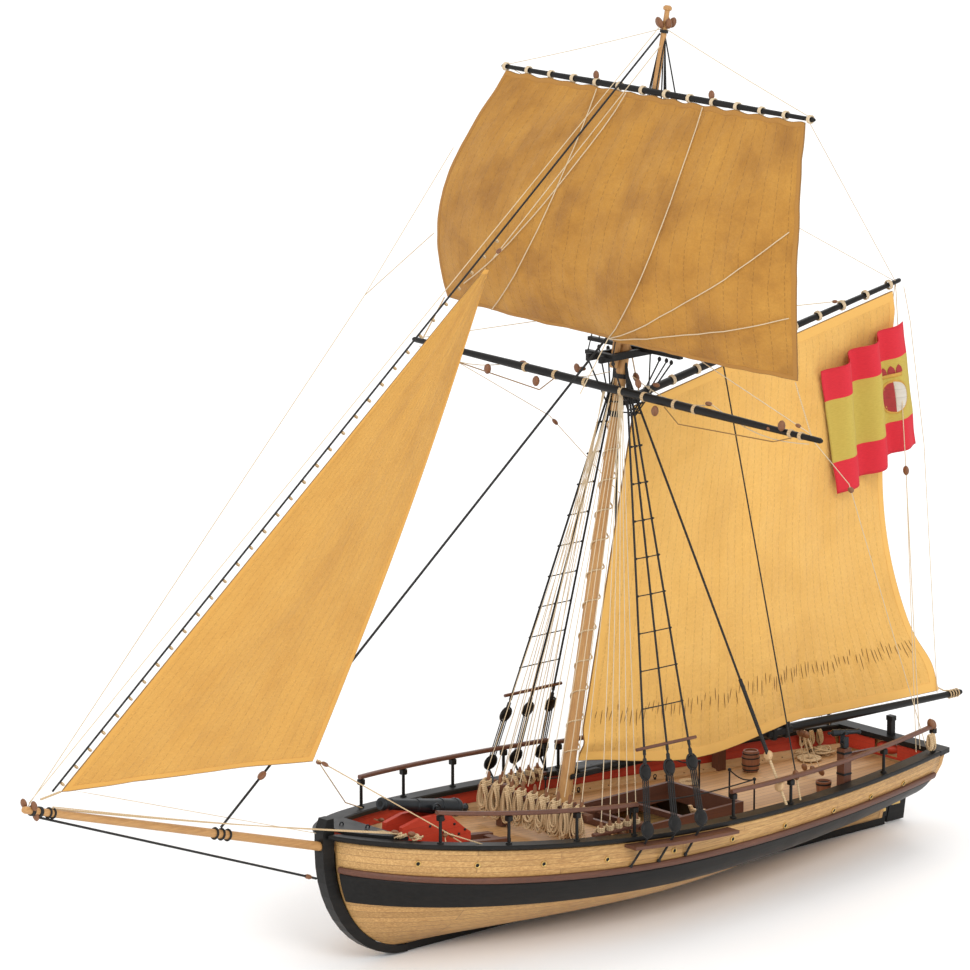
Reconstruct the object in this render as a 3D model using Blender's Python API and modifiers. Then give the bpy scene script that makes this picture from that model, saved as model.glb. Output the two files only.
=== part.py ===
"""A single-masted wooden gunboat, made as a display model: hull, spars, sails, guns and rigging.

+X is the bow, +Y is port and +Z is up. The origin is under the middle of the whole length,
on the flat bottom of the keel.
"""
import math

import bmesh
import bpy
from mathutils import Matrix, Vector

MM = 0.001
GAP = 0.3 * MM                      # clearance between pieces that touch

# Driving dimensions of the hull
STEM_X = 133 * MM                   # fore end of the rail cap
STERN_X = -266.5 * MM               # aft end of the rail cap
MID_X = -50 * MM                    # widest station
HALF_BEAM = 68.5 * MM               # over the rail cap
TRANSOM_HALF = 38.5 * MM            # over the rail cap, at the stern
RAIL_LOW_X = -210 * MM              # lowest point of the sheer
RAIL_LOW_Z = 47.2 * MM
RAIL_RISE = 22.3 * MM               # from the lowest point to the stem
CAP_THICKNESS = 2.6 * MM
CAP_WIDTH = 9 * MM
CAP_OVERHANG = 1.5 * MM
BULWARK = 13.5 * MM                 # deck edge below the top of the rail cap
CAMBER = 1 * MM
DECK_THICKNESS = 1.2 * MM
PLANK = 1.4 * MM
KEEL_HEIGHT = 4 * MM
KEEL_HALF = 2 * MM
STEM_HALF = 3.2 * MM
RABBET_HALF = 3 * MM                # half breadth of the planking where it meets the keel
FORMER_HALF = 1.2 * MM
STEM_CENTRE = (80 * MM, 60 * MM)    # centre of the stem's two elliptical curves
STEM_OUTER = (54.5 * MM, 60 * MM)
STEM_INNER = (46.5 * MM, 56 * MM)
STERN_FOOT_X = -249.5 * MM          # fore face of the sternpost, at the keel's bottom
STERN_RAKE = 0.277                  # forward run for each unit of height, aft going up
TRANSOM_THICKNESS = 2.5 * MM
POST_DEPTH = 4 * MM

# Driving dimensions of the rig
MAST_FOOT = (-24.5 * MM, 38 * MM)   # centre of the mast at the deck
MAST_RAKE = -0.18
MAST_TOP_Z = 308 * MM
TOPMAST_HEEL = (-60.5 * MM, 272 * MM)
TOPMAST_RAKE = -0.2037
TRUCK_Z = 449.5 * MM
BOWSPRIT_HEEL = (103 * MM, 54.2 * MM)
BOWSPRIT_TIP = (315.3 * MM, 116 * MM)
BOOM_JAWS = (-36.5 * MM, 68.7 * MM)
BOOM_END = (-315.3 * MM, 61 * MM)
GAFF_JAWS = (-70.5 * MM, 254.5 * MM)
GAFF_PEAK = (-264.3 * MM, 289.5 * MM)
LOWER_YARD = (-58.9 * MM, 261.7 * MM)
LOWER_YARD_HALF = 147 * MM
LOWER_YARD_TILT = math.radians(1.1)
TOPSAIL_YARD = (-84 * MM, 408 * MM)
TOPSAIL_YARD_HALF = 111 * MM
TOPSAIL_YARD_SHIFT = 4 * MM
BOLT_ROPE = 0.8 * MM                # thickness of every sail in these solids

# Colours of the pieces: red, green, blue, roughness, metallic
FINISHES = {
    "hull_oak": (0.62, 0.40, 0.17, 0.5, 0.0),
    "mahogany": (0.20, 0.075, 0.04, 0.5, 0.0),
    "black_paint": (0.02, 0.02, 0.022, 0.45, 0.0),
    "red_paint": (0.50, 0.05, 0.02, 0.6, 0.0),
    "deck_wood": (0.58, 0.38, 0.22, 0.6, 0.0),
    "spar_wood": (0.55, 0.36, 0.16, 0.5, 0.0),
    "plywood": (0.65, 0.50, 0.32, 0.8, 0.0),
    "sailcloth": (0.72, 0.45, 0.14, 0.9, 0.0),
    "gun_iron": (0.035, 0.045, 0.05, 0.45, 0.6),
    "black_rope": (0.02, 0.02, 0.02, 0.9, 0.0),
    "flag_cloth": (0.65, 0.04, 0.06, 0.9, 0.0),
}

SECTION_LEVELS = (0.0, 0.03, 0.08, 0.15, 0.25, 0.37, 0.5, 0.65, 0.82, 1.0)
HULL_COLUMNS = 26


# ---------------------------------------------------------------- scene and helpers

def clear_scene():
    for old in list(bpy.data.objects):
        bpy.data.objects.remove(old, do_unlink=True)


def new_collection(name):
    group = bpy.data.collections.new(name)
    bpy.context.scene.collection.children.link(group)
    return group


def make_material(name):
    red, green, blue, roughness, metallic = FINISHES[name]
    finish = bpy.data.materials.new(name)
    finish.use_nodes = True
    shader = finish.node_tree.nodes["Principled BSDF"]
    shader.inputs["Base Color"].default_value = (red, green, blue, 1.0)
    shader.inputs["Roughness"].default_value = roughness
    shader.inputs["Metallic"].default_value = metallic
    finish.diffuse_color = (red, green, blue, 1.0)
    return finish


def place(name, data, finish, pivot=None, group=None):
    """Link a mesh or curve as one named piece, with its origin on the pivot."""
    piece = bpy.data.objects.new(name, data)
    data.materials.append(MATERIALS[finish])
    if pivot is not None:
        data.transform(Matrix.Translation(-Vector(pivot)))
        piece.location = pivot
    (group or SHIP).objects.link(piece)
    return piece


def mesh_of(name, shape):
    data = bpy.data.meshes.new(name)
    shape.to_mesh(data)
    shape.free()
    return data


def grid_mesh(name, rows):
    """An open surface through rows of points."""
    shape = bmesh.new()
    lattice = [[shape.verts.new(point) for point in row] for row in rows]
    for lower, upper in zip(lattice, lattice[1:]):
        for index in range(len(lower) - 1):
            shape.faces.new((lower[index], lower[index + 1], upper[index + 1], upper[index]))
    return mesh_of(name, shape)


def solidify(piece, thickness, offset=-1.0):
    wall = piece.modifiers.new("Wall", "SOLIDIFY")
    wall.thickness = thickness
    wall.offset = offset
    return piece


def strip_solid(name, rows, thickness, finish, offset=-1.0, pivot=None):
    return solidify(place(name, grid_mesh(name, rows), finish, pivot), thickness, offset)


def prism(name, outline, half_thickness, finish, pivot=None, axis="Y", shift=(0, 0, 0), group=None):
    """A flat outline of two coordinates, thickened along Y (outline in X and Z) or X (in Y and Z)."""
    shape = bmesh.new()
    if axis == "Y":
        corners = [Vector((a, -half_thickness, b)) for a, b in outline]
        step = Vector((0, 2 * half_thickness, 0))
    else:
        corners = [Vector((-half_thickness, a, b)) for a, b in outline]
        step = Vector((2 * half_thickness, 0, 0))
    face = shape.faces.new([shape.verts.new(corner + Vector(shift)) for corner in corners])
    grown = bmesh.ops.extrude_face_region(shape, geom=[face])
    moved = [item for item in grown["geom"] if isinstance(item, bmesh.types.BMVert)]
    bmesh.ops.translate(shape, vec=step, verts=moved)
    bmesh.ops.recalc_face_normals(shape, faces=shape.faces)
    return place(name, mesh_of(name, shape), finish, pivot, group)


def box_mesh(name, low, high, turn=None):
    shape = bmesh.new()
    low, high = Vector(low), Vector(high)
    size = high - low
    matrix = Matrix.Translation((low + high) / 2) @ Matrix.Diagonal((*size, 1))
    bmesh.ops.create_cube(shape, size=1.0, matrix=(turn or Matrix()) @ matrix)
    return mesh_of(name, shape)


def box(name, low, high, finish, pivot=None, group=None, turn=None):
    return place(name, box_mesh(name, low, high, turn), finish, pivot, group)


def rod(name, points, radii, finish, sides=8, pivot=None, group=None):
    """A straight or bent round bar: a bevelled curve with filled caps, as a mesh."""
    data = bpy.data.curves.new(name, "CURVE")
    data.dimensions = "3D"
    data.bevel_depth = 1.0
    data.bevel_resolution = (sides - 4) // 2
    data.use_fill_caps = True
    spline = data.splines.new("POLY")
    spline.points.add(len(points) - 1)
    for knot, point, radius in zip(spline.points, points, radii):
        knot.co = (*point, 1.0)
        knot.radius = radius
    guide = bpy.data.objects.new(name + "_guide", data)
    SHIP.objects.link(guide)
    solid = bpy.data.meshes.new_from_object(guide.evaluated_get(bpy.context.evaluated_depsgraph_get()))
    bpy.data.objects.remove(guide, do_unlink=True)
    bpy.data.curves.remove(data)
    shape = bmesh.new()
    shape.from_mesh(solid)
    bpy.data.meshes.remove(solid)
    bmesh.ops.remove_doubles(shape, verts=shape.verts, dist=0.002 * MM)
    bmesh.ops.recalc_face_normals(shape, faces=shape.faces)
    piece = place(name, mesh_of(name, shape), finish, pivot, group)
    piece.data.shade_smooth()
    piece.data.set_sharp_from_angle(angle=math.radians(40))
    return piece


def between(start, end, share):
    return tuple(a + (b - a) * share for a, b in zip(start, end))


def spar(name, start, end, profile, finish, sides=10, pivot=None):
    """A turned spar: profile holds (share of the length, radius)."""
    points = [between(start, end, share) for share, _ in profile]
    return rod(name, points, [radius for _, radius in profile], finish, sides, pivot)


def boolean(piece, other, operation):
    cut = piece.modifiers.new("Cut" if operation == "DIFFERENCE" else "Join", "BOOLEAN")
    cut.object = other
    cut.operation = operation
    cut.solver = "EXACT"
    other.hide_render = True
    other.display_type = "WIRE"
    return piece


def join(name, pieces, finish, pivot=None):
    """Unite overlapping solids into one closed piece."""
    base = pieces[0]
    for extra in pieces[1:]:
        boolean(base, extra, "UNION")
    bpy.context.view_layer.update()
    solid = bpy.data.meshes.new_from_object(base.evaluated_get(bpy.context.evaluated_depsgraph_get()))
    solid.transform(base.matrix_world)
    for used in pieces:
        bpy.data.objects.remove(used, do_unlink=True)
    solid.materials.clear()
    return place(name, solid, finish, pivot)


def draft_box(low, high, turn=None):
    return box("draft", low, high, "plywood", group=CUTTERS, turn=turn)


def draft_rod(points, radii, sides=8):
    return rod("draft", points, radii, "plywood", sides, group=CUTTERS)


# ---------------------------------------------------------------- the hull's form

def rail_top(x):
    """Height of the rail cap's upper face."""
    share = max(0.0, (x - RAIL_LOW_X) / (STEM_X - RAIL_LOW_X))
    return RAIL_LOW_Z + RAIL_RISE * share ** 2.3


def plank_top(x):
    return rail_top(x) - CAP_THICKNESS - GAP


def deck_edge(x):
    return rail_top(x) - BULWARK


def cap_half(x):
    """Half breadth over the rail cap."""
    if x >= MID_X:
        share = min(1.0, (x - MID_X) / (STEM_X - MID_X))
        return HALF_BEAM * (1 - share ** 1.9) ** (1 / 1.7)
    share = (MID_X - x) / (MID_X - STERN_X)
    return HALF_BEAM - (HALF_BEAM - TRANSOM_HALF) * share ** 2.1


def level_height(x, level):
    return KEEL_HEIGHT + GAP + level * (plank_top(x) - KEEL_HEIGHT - GAP)


def stem_curve(z, radii):
    """X of one of the stem's curves at a height."""
    drop = max(0.0, (STEM_CENTRE[1] - z) / radii[1])
    return STEM_CENTRE[0] + radii[0] * math.sqrt(max(0.0, 1 - drop * drop))


def stem_x(level):
    return stem_curve(KEEL_HEIGHT + level * (plank_top(STEM_X) - KEEL_HEIGHT), STEM_INNER)


def stern_x(z):
    """Fore face of the transom at a height."""
    return STERN_FOOT_X - STERN_RAKE * z


def mid_half(level):
    full = HALF_BEAM - CAP_OVERHANG
    return RABBET_HALF + (full - RABBET_HALF) * (1 - (1 - level) ** 3) ** (1 / 1.6)


def transom_half(level):
    full = TRANSOM_HALF - CAP_OVERHANG
    share = max(0.0, (level - 0.3) / 0.7)
    return RABBET_HALF + (full - RABBET_HALF) * (1 - (1 - share) ** 2.5) ** (1 / 1.4)


def half_breadth(x, level):
    """Half breadth of the planking's outer face at a station and a share of the height."""
    level = min(1.0, max(0.0, level))
    middle = mid_half(level)
    if x >= MID_X:
        share = min(1.0, (x - MID_X) / (stem_x(level) - MID_X))
        fullness = 1.05 + 0.65 * level ** 0.6
        return RABBET_HALF + (middle - RABBET_HALF) * (1 - share ** 1.9) ** (1 / fullness)
    end = stern_x(level_height(STERN_X, level))
    share = min(1.0, (MID_X - x) / (MID_X - end))
    run = 1.3 + 0.8 * level
    return middle - (middle - transom_half(level)) * share ** run


def hull_level(x, z):
    return (z - KEEL_HEIGHT - GAP) / (plank_top(x) - KEEL_HEIGHT - GAP)


def hull_side(x, z, side, stand_off=0.0):
    """A point on the planking at a station and a height, moved out along the surface's normal."""
    step = 0.5 * MM
    here = half_breadth(x, hull_level(x, z))
    if not stand_off:
        return Vector((x, side * here, z))
    along = (half_breadth(x + step, hull_level(x + step, z)) - half_breadth(x - step, hull_level(x - step, z)))
    upward = (half_breadth(x, hull_level(x, z + step)) - half_breadth(x, hull_level(x, z - step)))
    normal = Vector((-along / (2 * step), 1.0, -upward / (2 * step)))
    normal.normalize()
    point = Vector((x, here, z)) + normal * stand_off
    return Vector((point.x, side * point.y, point.z))


def run_of_stations(start, end, count):
    """Stations from bow to stern, closer together near the bow."""
    return [start + (end - start) * (index / count) ** 1.6 for index in range(count + 1)]


def make_planking(name, side):
    rows = []
    for level in SECTION_LEVELS:
        start, end = stem_x(level), stern_x(level_height(STERN_X, level))
        row = []
        for x in run_of_stations(start, end, HULL_COLUMNS):
            row.append(Vector((x, side * half_breadth(x, level), level_height(x, level))))
        rows.append(row if side > 0 else row[::-1])
    strip_solid(name, rows, PLANK, "hull_oak")


def strake_top(x):
    """Upper edge of the brown rubbing strake."""
    return (35.5 + 18.5 * ((x - STERN_X) / (STEM_X - STERN_X)) ** 4) * MM


def wale_height(x):
    return (10.5 + 4 * ((x - STERN_X) / (STEM_X - STERN_X)) ** 4) * MM


STRAKE_HEIGHT = 3 * MM


def belt_end(z):
    """Foremost station of a belt that stops just short of the stem."""
    return stem_curve(z, STEM_INNER) - 0.4 * MM


def make_belt(name, side, low, high, stand_off, thickness, finish, levels=2):
    """A band of planks that follows the hull between two heights given by station."""
    start = belt_end(high(STEM_X))
    rows = []
    for index in range(levels + 1):
        share = index / levels
        row = []
        for x in run_of_stations(start, stern_x(low(STERN_X)) + 1.5 * MM, HULL_COLUMNS):
            z = low(x) + (high(x) - low(x)) * share
            fore = min(x, belt_end(z))
            row.append(hull_side(fore, z, side, stand_off))
        rows.append(row if side > 0 else row[::-1])
    strip_solid(name, rows, thickness, finish, offset=1.0)


def make_lining(name, side):
    """The inner planking of the bulwark."""
    rows = []
    for index in range(3):
        share = index / 2
        row = []
        for x in run_of_stations(116 * MM, stern_x(deck_edge(STERN_X)) + 2 * MM, 18):
            low, high = deck_edge(x) + GAP, plank_top(x) - GAP
            row.append(hull_side(x, low + (high - low) * share, side, -(PLANK + 2 * GAP)))
        rows.append(row if side > 0 else row[::-1])
    strip_solid(name, rows, 1 * MM, "red_paint")


def make_cap_rail(name, side):
    """One side's rail cap, from beside the stem to the taffrail."""
    rows = [[], []]
    step = 0.2 * MM
    inner_stop = STEM_HALF + GAP
    for x in run_of_stations(STEM_X - 0.5 * MM, STERN_X + CAP_WIDTH + GAP, 26):
        slope = (cap_half(x + step) - cap_half(x - step)) / (2 * step)
        inward = Vector((slope, -1.0, 0)).normalized()
        outer = Vector((x, max(cap_half(x), inner_stop + 1 * MM), 0))
        inner = outer + inward * CAP_WIDTH
        inner.y = max(inner.y, inner_stop)
        inner.x = min(inner.x, outer.x)
        inner.x = max(inner.x, STERN_X + CAP_WIDTH + GAP)
        for row, point in zip(rows, (outer, inner)):
            row.append(Vector((point.x, side * point.y, rail_top(point.x))))
    if side < 0:
        rows.reverse()
    strip_solid(name, rows, CAP_THICKNESS, "black_paint")


def make_taffrail():
    outline = []
    for x in (STERN_X, STERN_X + CAP_WIDTH):
        outline.append((x, cap_half(x)))
    plan = [(outline[0][0], -outline[0][1]), (outline[0][0], outline[0][1]), outline[1], (outline[1][0], -outline[1][1])]
    shape = bmesh.new()
    face = shape.faces.new([shape.verts.new((x, y, rail_top(x))) for x, y in plan])
    grown = bmesh.ops.extrude_face_region(shape, geom=[face])
    moved = [item for item in grown["geom"] if isinstance(item, bmesh.types.BMVert)]
    bmesh.ops.translate(shape, vec=(0, 0, -CAP_THICKNESS), verts=moved)
    bmesh.ops.recalc_face_normals(shape, faces=shape.faces)
    board = place("draft", mesh_of("draft", shape), "black_paint", group=CUTTERS)
    top = rail_top(STERN_X)
    x = STERN_X + 4 * MM
    post = draft_box((x - 1.5 * MM, -1.6 * MM, top - 1 * MM), (x + 1.5 * MM, 1.6 * MM, 56 * MM))
    fork = draft_box((x - 1.6 * MM, -2.2 * MM, 55 * MM), (x + 1.6 * MM, 2.2 * MM, 57.5 * MM))
    join("taffrail_and_boom_crutch", [board, post, fork], "black_paint")


def make_foredeck():
    """The plate that closes the bow at rail height, between the two rail caps."""
    rows = []
    for x in (122 * MM, 116 * MM, 110 * MM, 104 * MM, 98 * MM):
        slope = (cap_half(x + MM) - cap_half(x - MM)) / (2 * MM)
        reach = cap_half(x) - (CAP_WIDTH + 4 * GAP) * math.sqrt(1 + slope * slope)
        half = max(3.6 * MM, reach)
        rows.append([Vector((x, half * share, rail_top(x) - 0.3 * MM)) for share in (1, 0.5, 0, -0.5, -1)])
    strip_solid("foredeck_plate", rows, 1.6 * MM, "black_paint")


def make_deck():
    rows = []
    for x in run_of_stations(101 * MM, stern_x(deck_edge(STERN_X)) + 0.6 * MM, 22):
        z = deck_edge(x)
        half = half_breadth(x, hull_level(x, z - DECK_THICKNESS)) - PLANK - 1 * MM
        row = []
        for index in range(7):
            share = index / 3 - 1
            row.append(Vector((x, half * share, z + CAMBER * (1 - share * share))))
        rows.append(row)
    deck = strip_solid("main_deck", rows, DECK_THICKNESS, "deck_wood")
    hatch = draft_box((HATCH[0], -HATCH[2], 20 * MM), (HATCH[1], HATCH[2], 80 * MM))
    mast_hole = draft_rod([(mast_x(z), 0, z) for z in (25 * MM, 60 * MM)], [4.1 * MM] * 2, 12)
    boolean(deck, hatch, "DIFFERENCE")
    boolean(deck, mast_hole, "DIFFERENCE")
    bpy.context.view_layer.update()
    solid = bpy.data.meshes.new_from_object(deck.evaluated_get(bpy.context.evaluated_depsgraph_get()))
    for used in (deck, hatch, mast_hole):
        bpy.data.objects.remove(used, do_unlink=True)
    solid.materials.clear()
    place("main_deck", solid, "deck_wood")


HATCH = (-128 * MM, -48 * MM, 27 * MM)     # aft edge, fore edge and half width of the opening
BULKHEADS = (64 * MM, -139 * MM, -212 * MM)
BULKHEAD_HALF = 1.2 * MM


def inner_half(x, z):
    return max(0.0, half_breadth(x, hull_level(x, z)) - PLANK - 3 * MM)


def make_bulkhead(name, x):
    """A frame that fills the section, with a slot from below for the keel former."""
    top = deck_edge(x) - DECK_THICKNESS - 2 * GAP
    slot_half = FORMER_HALF + GAP
    lowest = bulkhead_low(x)
    side = [(inner_half(x, lowest + (top - lowest) * share), lowest + (top - lowest) * share)
            for share in (0, 0.08, 0.2, 0.35, 0.55, 0.8, 1)]
    middle = (lowest + top) / 2
    slot = [(-slot_half, lowest), (-slot_half, middle), (slot_half, middle), (slot_half, lowest)]
    outline = side + [(-y, z) for y, z in reversed(side)] + slot
    prism(name, outline, BULKHEAD_HALF, "plywood", axis="X", shift=(x, 0, 0))


def bulkhead_low(x):
    lowest = KEEL_HEIGHT + 6 * MM
    while inner_half(x, lowest) < FORMER_HALF + GAP + 2 * MM:
        lowest += 0.5 * MM
    return lowest


def make_former():
    """The central plate inside the planking, slotted from above for the frames and the mast."""
    def top(x):
        return deck_edge(x) - DECK_THICKNESS - 2 * GAP
    low = KEEL_HEIGHT + GAP
    outline = []
    slots = [(x - BULKHEAD_HALF - GAP, x + BULKHEAD_HALF + GAP, (bulkhead_low(x) + top(x)) / 2 - GAP)
             for x in BULKHEADS]
    slots.append((-31 * MM, -16 * MM, 12 * MM))
    slots.append((HATCH[0] - MM, HATCH[1] + MM, 14 * MM))
    for aft, fore, floor in sorted(slots, reverse=True):
        outline += [(fore, top(fore)), (fore, floor), (aft, floor), (aft, top(aft))]
    aft_end = stern_x(low) + 1 * MM
    aft_top = stern_x(top(STERN_X)) + 1 * MM
    bow = [(stem_curve(z, STEM_INNER) - 2.5 * MM, z) for z in (8 * MM, 12 * MM, 20 * MM, 30 * MM, 42 * MM)]
    outline = [(82 * MM, low)] + bow + [(118 * MM, top(112 * MM))] + outline + [(aft_top, top(STERN_X)), (aft_end, low)]
    prism("keel_former", outline, FORMER_HALF, "plywood")


def make_backbone():
    """Stem, keel and sternpost."""
    split = STEM_CENTRE[0]
    heel = stern_x(0) - 2 * GAP - TRANSOM_THICKNESS - POST_DEPTH
    prism("keel", [(split - GAP, 0), (split - GAP, KEEL_HEIGHT), (heel, KEEL_HEIGHT), (heel, 0)],
          KEEL_HALF, "black_paint")
    outer, inner = [], []
    for index in range(13):
        turn = math.radians(90 * index / 12)
        outer.append((split + STEM_OUTER[0] * math.sin(turn), STEM_CENTRE[1] - STEM_OUTER[1] * math.cos(turn)))
        inner.append((split + (STEM_INNER[0] + 3 * GAP) * math.sin(turn),
                      STEM_CENTRE[1] - (STEM_INNER[1] + GAP) * math.cos(turn)))
    head = [(134.5 * MM, 70 * MM), (131.8 * MM, 76.6 * MM), (127.6 * MM, 76.6 * MM), (127.4 * MM, 70 * MM)]
    stem = prism("draft", outer + head + inner[::-1], STEM_HALF, "black_paint", group=CUTTERS)
    hole = draft_rod([(110 * MM, 0, bowsprit_z(110 * MM)), (150 * MM, 0, bowsprit_z(150 * MM))], [2.6 * MM] * 2, 12)
    boolean(stem, hole, "DIFFERENCE")
    bpy.context.view_layer.update()
    solid = bpy.data.meshes.new_from_object(stem.evaluated_get(bpy.context.evaluated_depsgraph_get()))
    for used in (stem, hole):
        bpy.data.objects.remove(used, do_unlink=True)
    solid.materials.clear()
    place("stem", solid, "black_paint")
    fore = stern_x(0) - 2 * GAP - TRANSOM_THICKNESS

    def line(z):
        return fore - STERN_RAKE * z
    low, high = KEEL_HEIGHT + GAP, 36.5 * MM
    prism("sternpost", [(line(low), low), (line(high), high), (line(high) - POST_DEPTH, high),
                        (line(low) - POST_DEPTH, low)], KEEL_HALF, "black_paint")


def make_transom():
    """The flat stern, with the helm port that the tiller comes through."""
    top = plank_top(STERN_X)
    levels = [0.0, 0.15, 0.3, 0.34, 0.4, 0.48, 0.58, 0.7, 0.85, 1.0]
    side = []
    for level in levels:
        z = level_height(STERN_X, level)
        side.append((transom_half(level), min(z, top)))
    shape = bmesh.new()
    outline = side + [(-y, z) for y, z in reversed(side)]
    face = shape.faces.new([shape.verts.new((stern_x(z) - GAP, y, z)) for y, z in outline])
    grown = bmesh.ops.extrude_face_region(shape, geom=[face])
    moved = [item for item in grown["geom"] if isinstance(item, bmesh.types.BMVert)]
    bmesh.ops.translate(shape, vec=(-TRANSOM_THICKNESS, 0, 0), verts=moved)
    bmesh.ops.recalc_face_normals(shape, faces=shape.faces)
    panel = place("transom", mesh_of("transom", shape), "hull_oak")
    port = draft_box((-280 * MM, -6.5 * MM, 37.6 * MM), (-240 * MM, 6.5 * MM, 43.2 * MM))
    boolean(panel, port, "DIFFERENCE")
    bpy.context.view_layer.update()
    solid = bpy.data.meshes.new_from_object(panel.evaluated_get(bpy.context.evaluated_depsgraph_get()))
    for used in (panel, port):
        bpy.data.objects.remove(used, do_unlink=True)
    solid.materials.clear()
    place("transom", solid, "hull_oak")


# ---------------------------------------------------------------- deck fittings

def make_hatch():
    """Coaming round the open hold, with two beams across it."""
    aft, fore, half = HATCH
    wall = 2 * MM
    z_aft, z_fore = deck_edge(aft) + CAMBER, deck_edge(fore) + CAMBER
    low, high = min(z_aft, z_fore) - 3 * MM, z_fore + 3.2 * MM
    parts = []
    inset = GAP
    for y in (-1, 1):
        a, b = sorted((y * (half - inset), y * (half - inset - wall)))
        parts.append(draft_box((aft + inset, a, low), (fore - inset, b, high)))
    for x in (aft + inset, fore - inset - wall):
        parts.append(draft_box((x, -half + inset, low), (x + wall, half - inset, high)))
    for x in (aft + 27 * MM, aft + 53 * MM):
        parts.append(draft_box((x, -half + inset, low + 0.5 * MM), (x + 2.4 * MM, half - inset, low + 3.5 * MM)))
    join("hatch_coaming", parts, "mahogany")


def make_ladder():
    """Steep ladder down into the hold."""
    top, foot = (-107 * MM, 40 * MM), (-119 * MM, 17 * MM)
    parts = []
    for y in (9 * MM, 19 * MM):
        outline = [(top[0] - MM, top[1]), (top[0] + MM, top[1]), (foot[0] + MM, foot[1]), (foot[0] - MM, foot[1])]
        parts.append(prism("draft", outline, 0.7 * MM, "plywood", shift=(0, y, 0), group=CUTTERS))
    for index in range(5):
        x, z = between(top, foot, 0.1 + 0.19 * index)
        parts.append(draft_box((x - 1.2 * MM, 9 * MM, z - 0.5 * MM), (x + 0.8 * MM, 19 * MM, z + 0.5 * MM)))
    join("hold_ladder", parts, "mahogany")


def sweep_mesh(name, sections):
    """A closed bar through rings of points, one ring for each station."""
    shape = bmesh.new()
    rings = [[shape.verts.new(point) for point in ring] for ring in sections]
    count = len(rings[0])
    for here, there in zip(rings, rings[1:]):
        for index in range(count):
            after = (index + 1) % count
            shape.faces.new((here[index], here[after], there[after], there[index]))
    shape.faces.new(rings[0])
    shape.faces.new(rings[-1][::-1])
    bmesh.ops.recalc_face_normals(shape, faces=shape.faces)
    return mesh_of(name, shape)


def handrail(name, side, stations, height):
    """A rail on square-headed stanchions that stand on the rail cap."""
    inset = 4 * MM
    count = 10
    half_width, half_depth = 1.25 * MM, 1.2 * MM
    sections = []
    for index in range(count + 1):
        x = stations[0] + (stations[-1] - stations[0]) * index / count
        y, z = side * (cap_half(x) - inset), rail_top(x) + height
        sections.append([(x, y - half_width, z - half_depth), (x, y + half_width, z - half_depth),
                         (x, y + half_width, z + half_depth), (x, y - half_width, z + half_depth)])
    parts = [place("draft", sweep_mesh("draft", sections), "mahogany", group=CUTTERS)]
    for x in stations:
        shift = 1.6 * MM * (1 if x == min(stations) else (-1 if x == max(stations) else 0))
        x += shift
        y = side * (cap_half(x) - inset)
        foot = rail_top(x) + GAP
        top = rail_top(x) + height
        parts.append(draft_rod([(x, y, foot), (x, y, top)], [0.85 * MM] * 2, 8))
        parts.append(draft_box((x - 1.4 * MM, y - 1.6 * MM, top - 3.8 * MM), (x + 1.4 * MM, y + 1.6 * MM, top - 0.5 * MM)))
    join(name, parts, "mahogany")


def shroud_shift(side):
    """The starboard shrouds stand further aft than the port ones."""
    return -28 * MM if side < 0 else 0.0


def make_channel(name, side):
    """The board outside the rail that spreads the shrouds."""
    rows = [[], []]
    for index in range(7):
        x = -8 * MM - index * 11.5 * MM + shroud_shift(side)
        inner = half_breadth(x, 1.0) + GAP
        outer = cap_half(x) + 7 * MM
        z = rail_top(x) - CAP_THICKNESS - 2 * GAP
        rows[0].append(Vector((x, side * outer, z)))
        rows[1].append(Vector((x, side * inner, z)))
    if side < 0:
        rows.reverse()
    strip_solid(name, rows, 1.6 * MM, "mahogany")


def make_pin_rack():
    """Rack of belaying pins on two posts, forward of the mast."""
    x, top = -8 * MM, 60 * MM
    floor = deck_edge(x) + CAMBER + GAP
    parts = [draft_box((x - 2 * MM, -40 * MM, top - 2.6 * MM), (x + 2 * MM, 40 * MM, top))]
    for y in (-24 * MM, 24 * MM):
        parts.append(draft_box((x - 2.2 * MM, y - 2.2 * MM, floor), (x + 2.2 * MM, y + 2.2 * MM, top + 3 * MM)))
    for index in range(9):
        y = (index - 4) * 8.5 * MM
        if abs(abs(y) - 24 * MM) < 3 * MM:
            y += math.copysign(3.6 * MM, abs(y) - 24 * MM) * math.copysign(1, y)
        parts.append(draft_rod([(x, y, top - 7 * MM), (x, y, top + 4.5 * MM)], [0.9 * MM] * 2, 6))
    join("fore_pin_rack", parts, "mahogany")


def make_barrel():
    x, y = -190 * MM, -31 * MM
    low = deck_edge(x) + CAMBER + GAP
    levels = [(0, 3.9), (1.5, 4.3), (5.5, 4.8), (9.5, 4.3), (11, 3.9)]
    rod("water_barrel", [(x, y, low + z * MM) for z, _ in levels], [r * MM for _, r in levels], "mahogany", 12)


# ---------------------------------------------------------------- rudder

def hinge_x(z):
    """X of the rudder's hinge line at a height."""
    return stern_x(0) - 2 * GAP - TRANSOM_THICKNESS - POST_DEPTH - 1 * MM - STERN_RAKE * z


def make_rudder():
    pivot = (hinge_x(20 * MM), 0, 20 * MM)

    def edge(z, back):
        return (hinge_x(z) - back * MM, z)
    z = [value * MM for value in (0.6, 28, 36, 43.6)]
    outline = [edge(z[0], 0.6), edge(z[3], 0.6), edge(z[3], 5.5), edge(z[2], 5.5), edge(z[1], 10), edge(z[0], 13.5)]
    prism("rudder", outline, 1.5 * MM, "black_paint", pivot=pivot)
    low, high = 39.2 * MM, 41.6 * MM
    start = hinge_x(40 * MM)
    tiller = [(start - 0.4 * MM, low), (start - 0.4 * MM, high), (start + 38 * MM, high + 1.5 * MM),
              (start + 38 * MM, high - 0.2 * MM)]
    prism("tiller", tiller, 1 * MM, "mahogany", pivot=pivot)


# ---------------------------------------------------------------- spars

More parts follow.
